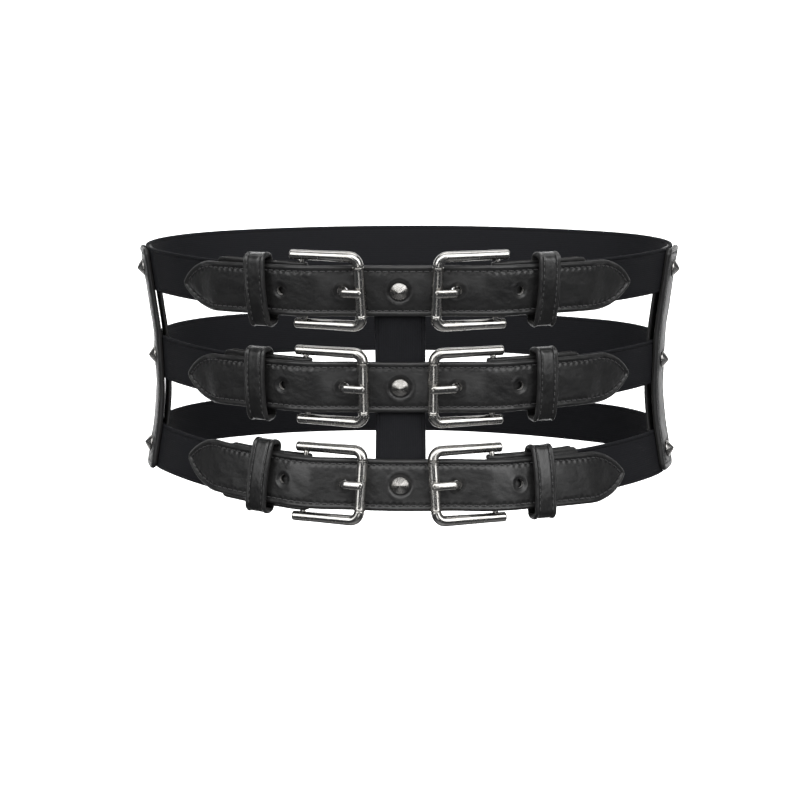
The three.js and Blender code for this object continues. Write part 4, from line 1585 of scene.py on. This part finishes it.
# %% [markdown]
# ## The route of a prong
# The prong hangs on the pivot bar by an eye, dips under the strap, comes up through its hole and rests
# on the roller. A smooth curve through a few listed stops says both how it is bent and where it
# goes. The bend is tight, because the small hole leaves no room beside it.

# %% The route of a prong
def smooth_route(points, count):
    """A Catmull-Rom curve through the points, with its ends repeated, and the direction along it."""
    padded = np.concatenate([points[:1], points, points[-1:]])
    place_on = np.linspace(0, len(points) - 1, count)
    i = np.minimum(place_on.astype(int), len(points) - 2)
    t = (place_on - i)[:, None]
    p0, p1, p2, p3 = (padded[i + k] for k in range(4))
    v0, v1 = (p2 - p0) / 2, (p3 - p1) / 2
    route = (2 * p1 - 2 * p2 + v0 + v1) * t**3 + (3 * p2 - 3 * p1 - 2 * v0 - v1) * t**2 + v0 * t + p1
    return route, unit(np.gradient(route, axis=0))


def prong_stops(row, side):
    """The arm's (x, z) stops: down from the eye, level under the strap, up through the hole, and on
    over the roller to the tip."""
    hole = PRONG_HOLE["along"] - bar_along(row, side)
    rest = ROLLER["diameter"] / 2 + GAP + PRONG["tip"] / 2
    dip, root, reach = PRONG["dip"], PRONG["root"], BUCKLE["reach"]
    return [
        (-root, -0.25 * dip),
        (-3.3 * root, -0.6 * dip),
        (hole + 5.3, -dip),
        (hole + 2.2, -dip),
        (hole + 0.3, -0.75 * dip),
        (hole - 0.2, -0.3 * dip),
        (hole - 0.3, 0.3 * dip),
        (hole - 0.8, 0.7 * dip),
        (hole - 2.4, rest - 0.1),
        (hole - 4.6, rest),
        (1.5 - reach, rest),
        (-reach, rest),
        (-reach - PRONG["over"], rest - 0.2),
    ]


print("an upper prong goes through", len(prong_stops("upper", -1)), "stops")

# %% [markdown]
# ## The prong
# The arm is a flattened bar, drawn along the route and rounded off at its tip, and the eye is the same
# section drawn round the pivot bar. A square with very round corners is what a hammered rod looks like.

# %% The prong
PRONG_SECTION = {"around": 28, "power": 2.6, "tip": 1.7, "blunt": 0.12}


def prong_section():
    """A square with very round corners, |x| and |y| to the power 2.6 summing to 1, as two rows."""
    turn = 2 * math.pi * np.arange(PRONG_SECTION["around"]) / PRONG_SECTION["around"]
    ring, power = np.stack([np.cos(turn), np.sin(turn)]), PRONG_SECTION["power"]
    return ring * (np.abs(ring) ** power).sum(0) ** (-1 / power)


def prong_arm(row, side):
    """The section times the arm's thickness and width, square to the route. Both are rounded off at
    the tip."""
    route, ahead = smooth_route(np.array(prong_stops(row, side)), 90)
    run = run_along(route)
    share = (run / run[-1])[:, None]
    blunt = PRONG_SECTION["blunt"]
    tip = blunt + (1 - blunt) * edge_round(run[-1] - run, PRONG_SECTION["tip"])[:, None]
    thick = (PRONG["thickness"] + (PRONG["tip"] - PRONG["thickness"]) * share) / 2 * tip
    section_x, section_y = prong_section()
    offset, up = PRONG["width"] / 2 * tip * section_x, thick * section_y
    x, z = route[:, :1] - ahead[:, 1:] * up, route[:, 1:] + ahead[:, :1] * up
    return tube_skin(np.stack([x, offset, z], -1))


def prong_eye():
    """The same section as a ring round the pivot bar."""
    section_x, section_y = prong_section()
    turn = (2 * math.pi * np.arange(40) / 40)[:, None]
    radial = BUCKLE["bar"] / 2 + GAP + PRONG["eye_wall"] / 2 * (1 + section_x)
    width = PRONG["width"] / 2 * section_y + 0 * turn
    return tube_skin(np.stack([radial * np.cos(turn), width, radial * np.sin(turn)], -1), loop=True)


# %% [markdown]
# ## Buckles
# Wire, roller and prong go to the same seat, which has the pivot bar at its origin. Only the prong
# differs from buckle to buckle, because the distance from the bar to the hole does.

# %% Buckles
for row, side in HALVES:
    name = half_name(row, side)
    where = buckle_seat(row, side)
    parts = {
        "buckle_frame": seated(buckle_wire, where),
        "roller": seated(roller, moved(where, -BUCKLE["reach"])),
        "prong": seated(joined(prong_arm(row, side), prong_eye()), where),
    }
    for part, skin in parts.items():
        make_piece(f"{part}_piece_{name}", skin, polished, f"{part}_{name}")

# %% [markdown]
# ## Cone studs
# A stud is a spun cone with a soft tip and a thin rim that sits in its dent in the leather. A post
# goes through all the layers to a flat cap behind them, and the whole stud is one turned profile.

# %% Cone studs
RIM = {"low": -0.42, "high": 0.5}


def stud_skin(depth):
    """The profile in (radius, height), from the back cap's middle up the post and out to the cone's tip.
    Depth is the thickness of all the layers that the post goes through."""
    radius, cap, post = STUD["diameter"] / 2, STUD["cap"] / 2, STUD["post"] / 2
    back, low, high, tip = STUD["cap_thickness"], RIM["low"], RIM["high"], GAP + STUD["height"]
    behind = [(0.02, -back), (cap - 0.25, -back), (cap - 0.06, 0.1 - back), (cap, 0.3 - back)]
    behind += [(cap - 0.1, -0.05), (cap - 0.3, 0), (post, 0)]
    rim = [(post, low), (radius - 0.3, low), (radius - 0.08, low + 0.1), (radius, low + 0.35)]
    rim += [(radius, high - 0.15), (radius - 0.05, high - 0.04)]
    share = np.linspace(0, 1, 14)[1:]
    foot = radius - 0.1
    flank_r = foot - (foot - 0.45) * share
    flank_z = high + (tip - 0.12 - high) * (share + 0.05 * np.sin(math.pi * share))
    nose = [(0.3, tip - 0.04), (0.12, tip)]
    sunk = [(r, z - depth - GAP) for r, z in behind]
    skin = turned(np.array(sunk + rim + list(zip(flank_r, flank_z)) + nose), 56)
    from_axis = np.hypot(skin["points"][:, 0], skin["points"][:, 1])
    return {**skin, "strip": np.stack([from_axis, skin["points"][:, 2], 0 * from_axis], -1)}


centre_stud = stud_skin(STRAP_CENTRE + STRAP["thickness"])
side_stud = stud_skin(SIDE_FACE)
for row in ROWS:
    skin = seated(centre_stud, front_seat(row, 0, 1, STRAP["thickness"]))
    make_piece(f"stud_piece_{row}_centre", skin, spun, f"stud_{row}_centre")
    for side, name in SIDES.items():
        skin = seated(side_stud, side_seat(row, side))
        make_piece(f"stud_piece_{row}_{name}", skin, spun, f"stud_{row}_{name}")

# %% [markdown]
# ## Floor and background
# A pale sweep stands for floor and background: flat below, a round bend, and a wall behind. The floor
# in front of the belt gives back no light, as if black cloth lay on it: that is what keeps the
# undersides of wire and leather as dark as they are in the photograph. What the camera sees is a
# second, glowing set of sheets, pale from every side, that lights nothing.

# %% Floor and background
STUDIO = {"half_width": 4000, "floor": -450, "front": 300, "wall": 1500, "top": 3500, "bend": 600}
SEEN = {"nearer": 5, "glow": 0.85, "radius": 3900}


def sweep_skin(line):
    """A line of (depth, height) points carried from one side of the studio to the other."""
    x = STUDIO["half_width"] * np.array([-1.0, 1.0])
    points = np.stack([np.broadcast_to(x, (len(line), 2)), line[:, :1] + 0 * x, line[:, 1:] + 0 * x], -1)
    numbers = np.arange(points.shape[0] * 2).reshape(-1, 2)
    return make_skin(points.reshape(-1, 3), [table_faces(numbers)[:, ::-1]])


def wall_skin(radius, low, high, around=96):
    """A ring of points at each of two heights."""
    turn = 2 * math.pi * np.arange(around + 1) / around
    ring = radius * np.stack([np.cos(turn), np.sin(turn)], -1)
    points = np.stack([np.column_stack([ring, np.full(around + 1, height)]) for height in (low, high)])
    return make_skin(points.reshape(-1, 3), [table_faces(np.arange(2 * around + 2).reshape(2, -1))])


def paper(name, glow):
    """White paper with faint clouds in its tone, which may glow."""
    paint = Paint(name)
    tone = paint.mixed(paint.noise(paint.spot(), scale=3.0, detail=2.0), (0.86, 0.86, 0.86), (0.9, 0.9, 0.9))
    glow_colour = (0.95, 0.95, 0.95, 1)
    return paint.finish(Base_Color=tone, Roughness=0.95, Emission_Color=glow_colour, Emission_Strength=glow)


def sheet(name, skin, paint, lights):
    """A sheet either gives light back to the belt, unseen, or is seen by the camera and gives none."""
    made = make_object(name, skin, paint)
    made.visible_camera = not lights
    made.visible_diffuse = lights
    made.visible_glossy = lights
    made.visible_shadow = lights


turn = np.linspace(-math.pi / 2, 0, 24)
bend_centre = np.array([STUDIO["wall"] - STUDIO["bend"], STUDIO["floor"] + STUDIO["bend"]])
bend = bend_centre + STUDIO["bend"] * np.stack([np.cos(turn), np.sin(turn)], -1)
sweep = np.concatenate([[[STUDIO["front"], STUDIO["floor"]]], bend, [[STUDIO["wall"], STUDIO["top"]]]])
seen_front = [-STUDIO["half_width"], STUDIO["floor"] + SEEN["nearer"]]
backdrop = np.concatenate([[seen_front], sweep + [-SEEN["nearer"], SEEN["nearer"]]])
surround = wall_skin(SEEN["radius"], STUDIO["floor"], STUDIO["top"])
glowing_paper = paper("glowing_paper", SEEN["glow"])
sheet("studio_sweep", sweep_skin(sweep), paper("studio_paper", 0.0), True)
sheet("studio_backdrop", sweep_skin(backdrop), glowing_paper, False)
sheet("studio_surround", surround, glowing_paper, False)

# %% [markdown]
# ## The lights
# Polished metal shows whatever is around it, so the lights are large soft panels: one high in front, one
# overhead, a weak one below, and a wide soft box at each side of the lens, which lights the legs of the
# buckles. A tall strip at each side and a small panel under the lens draw the upright lines on the
# rollers, two kickers from behind trace the belt's sides, and one more panel lights the wall.

# %% The lights
SPREAD = 100
# Each panel has its place and its aim in metres, its width and height, and its power in watts.
PANELS = {
    "panel_front": ((0.05, -1.35, 1.4), (0, 0, 0), (2.4, 1.4), 9),
    "panel_overhead": ((0, 0.3, 1.7), (0, 0, 0), (2.2, 1.0), 5),
    "panel_below": ((0, -0.35, -0.42), (0, -0.3, 0), (1.4, 0.6), 0.26),
    "panel_lens": ((0.05, -1.35, -0.22), (0, 0, 0), (0.45, 0.3), 0.25),
    "box_left": ((-1.15, -1.15, 0.7), (0, 0, 0), (0.9, 1.3), 3.4),
    "box_right": ((1.2, -1.1, 0.7), (0, 0, 0), (0.9, 1.3), 4.0),
    "strip_left": ((-1.3, -0.45, 0), (0, 0, 0), (0.15, 1.3), 0.04),
    "strip_right": ((1.3, -0.45, 0), (0, 0, 0), (0.2, 1.3), 0.11),
    "kicker_left": ((-1.0, 1.3, 0.3), (0, 0, 0), (0.4, 1.2), 0.45),
    "kicker_right": ((1.0, 1.3, 0.3), (0, 0, 0), (0.4, 1.2), 0.5),
    "panel_wall": ((0, 0.75, 1.3), (0, 1.5, 0.0), (2.6, 0.8), 14),
}
SKY = {"colour": (0.9, 0.93, 1.0, 1), "strength": 0.05}


def panel(name, place_at, aim, size, power):
    """A rectangular area light that looks from its place along aim less place, and isn't seen itself."""
    light = bpy.data.lights.new(name, "AREA")
    light.shape = "RECTANGLE"
    light.size, light.size_y = size
    light.energy = power
    light.spread = math.radians(SPREAD)
    lamp = bpy.data.objects.new(name, light)
    lamp.location = place_at
    lamp.rotation_euler = (Vector(aim) - Vector(place_at)).to_track_quat("-Z", "Y").to_euler()
    lamp.visible_camera = False
    bpy.context.scene.collection.objects.link(lamp)


for name, values in PANELS.items():
    panel(name, *values)

world = bpy.data.worlds.new("studio")
bpy.context.scene.world = world
world.use_nodes = True
sky = world.node_tree.nodes["Background"].inputs
sky["Color"].default_value = SKY["colour"]
sky["Strength"].default_value = SKY["strength"]
bpy.context.scene.view_settings.view_transform = "Standard"
print("lights:", len(PANELS), "panels of", round(sum(values[-1] for values in PANELS.values()), 1), "watts")
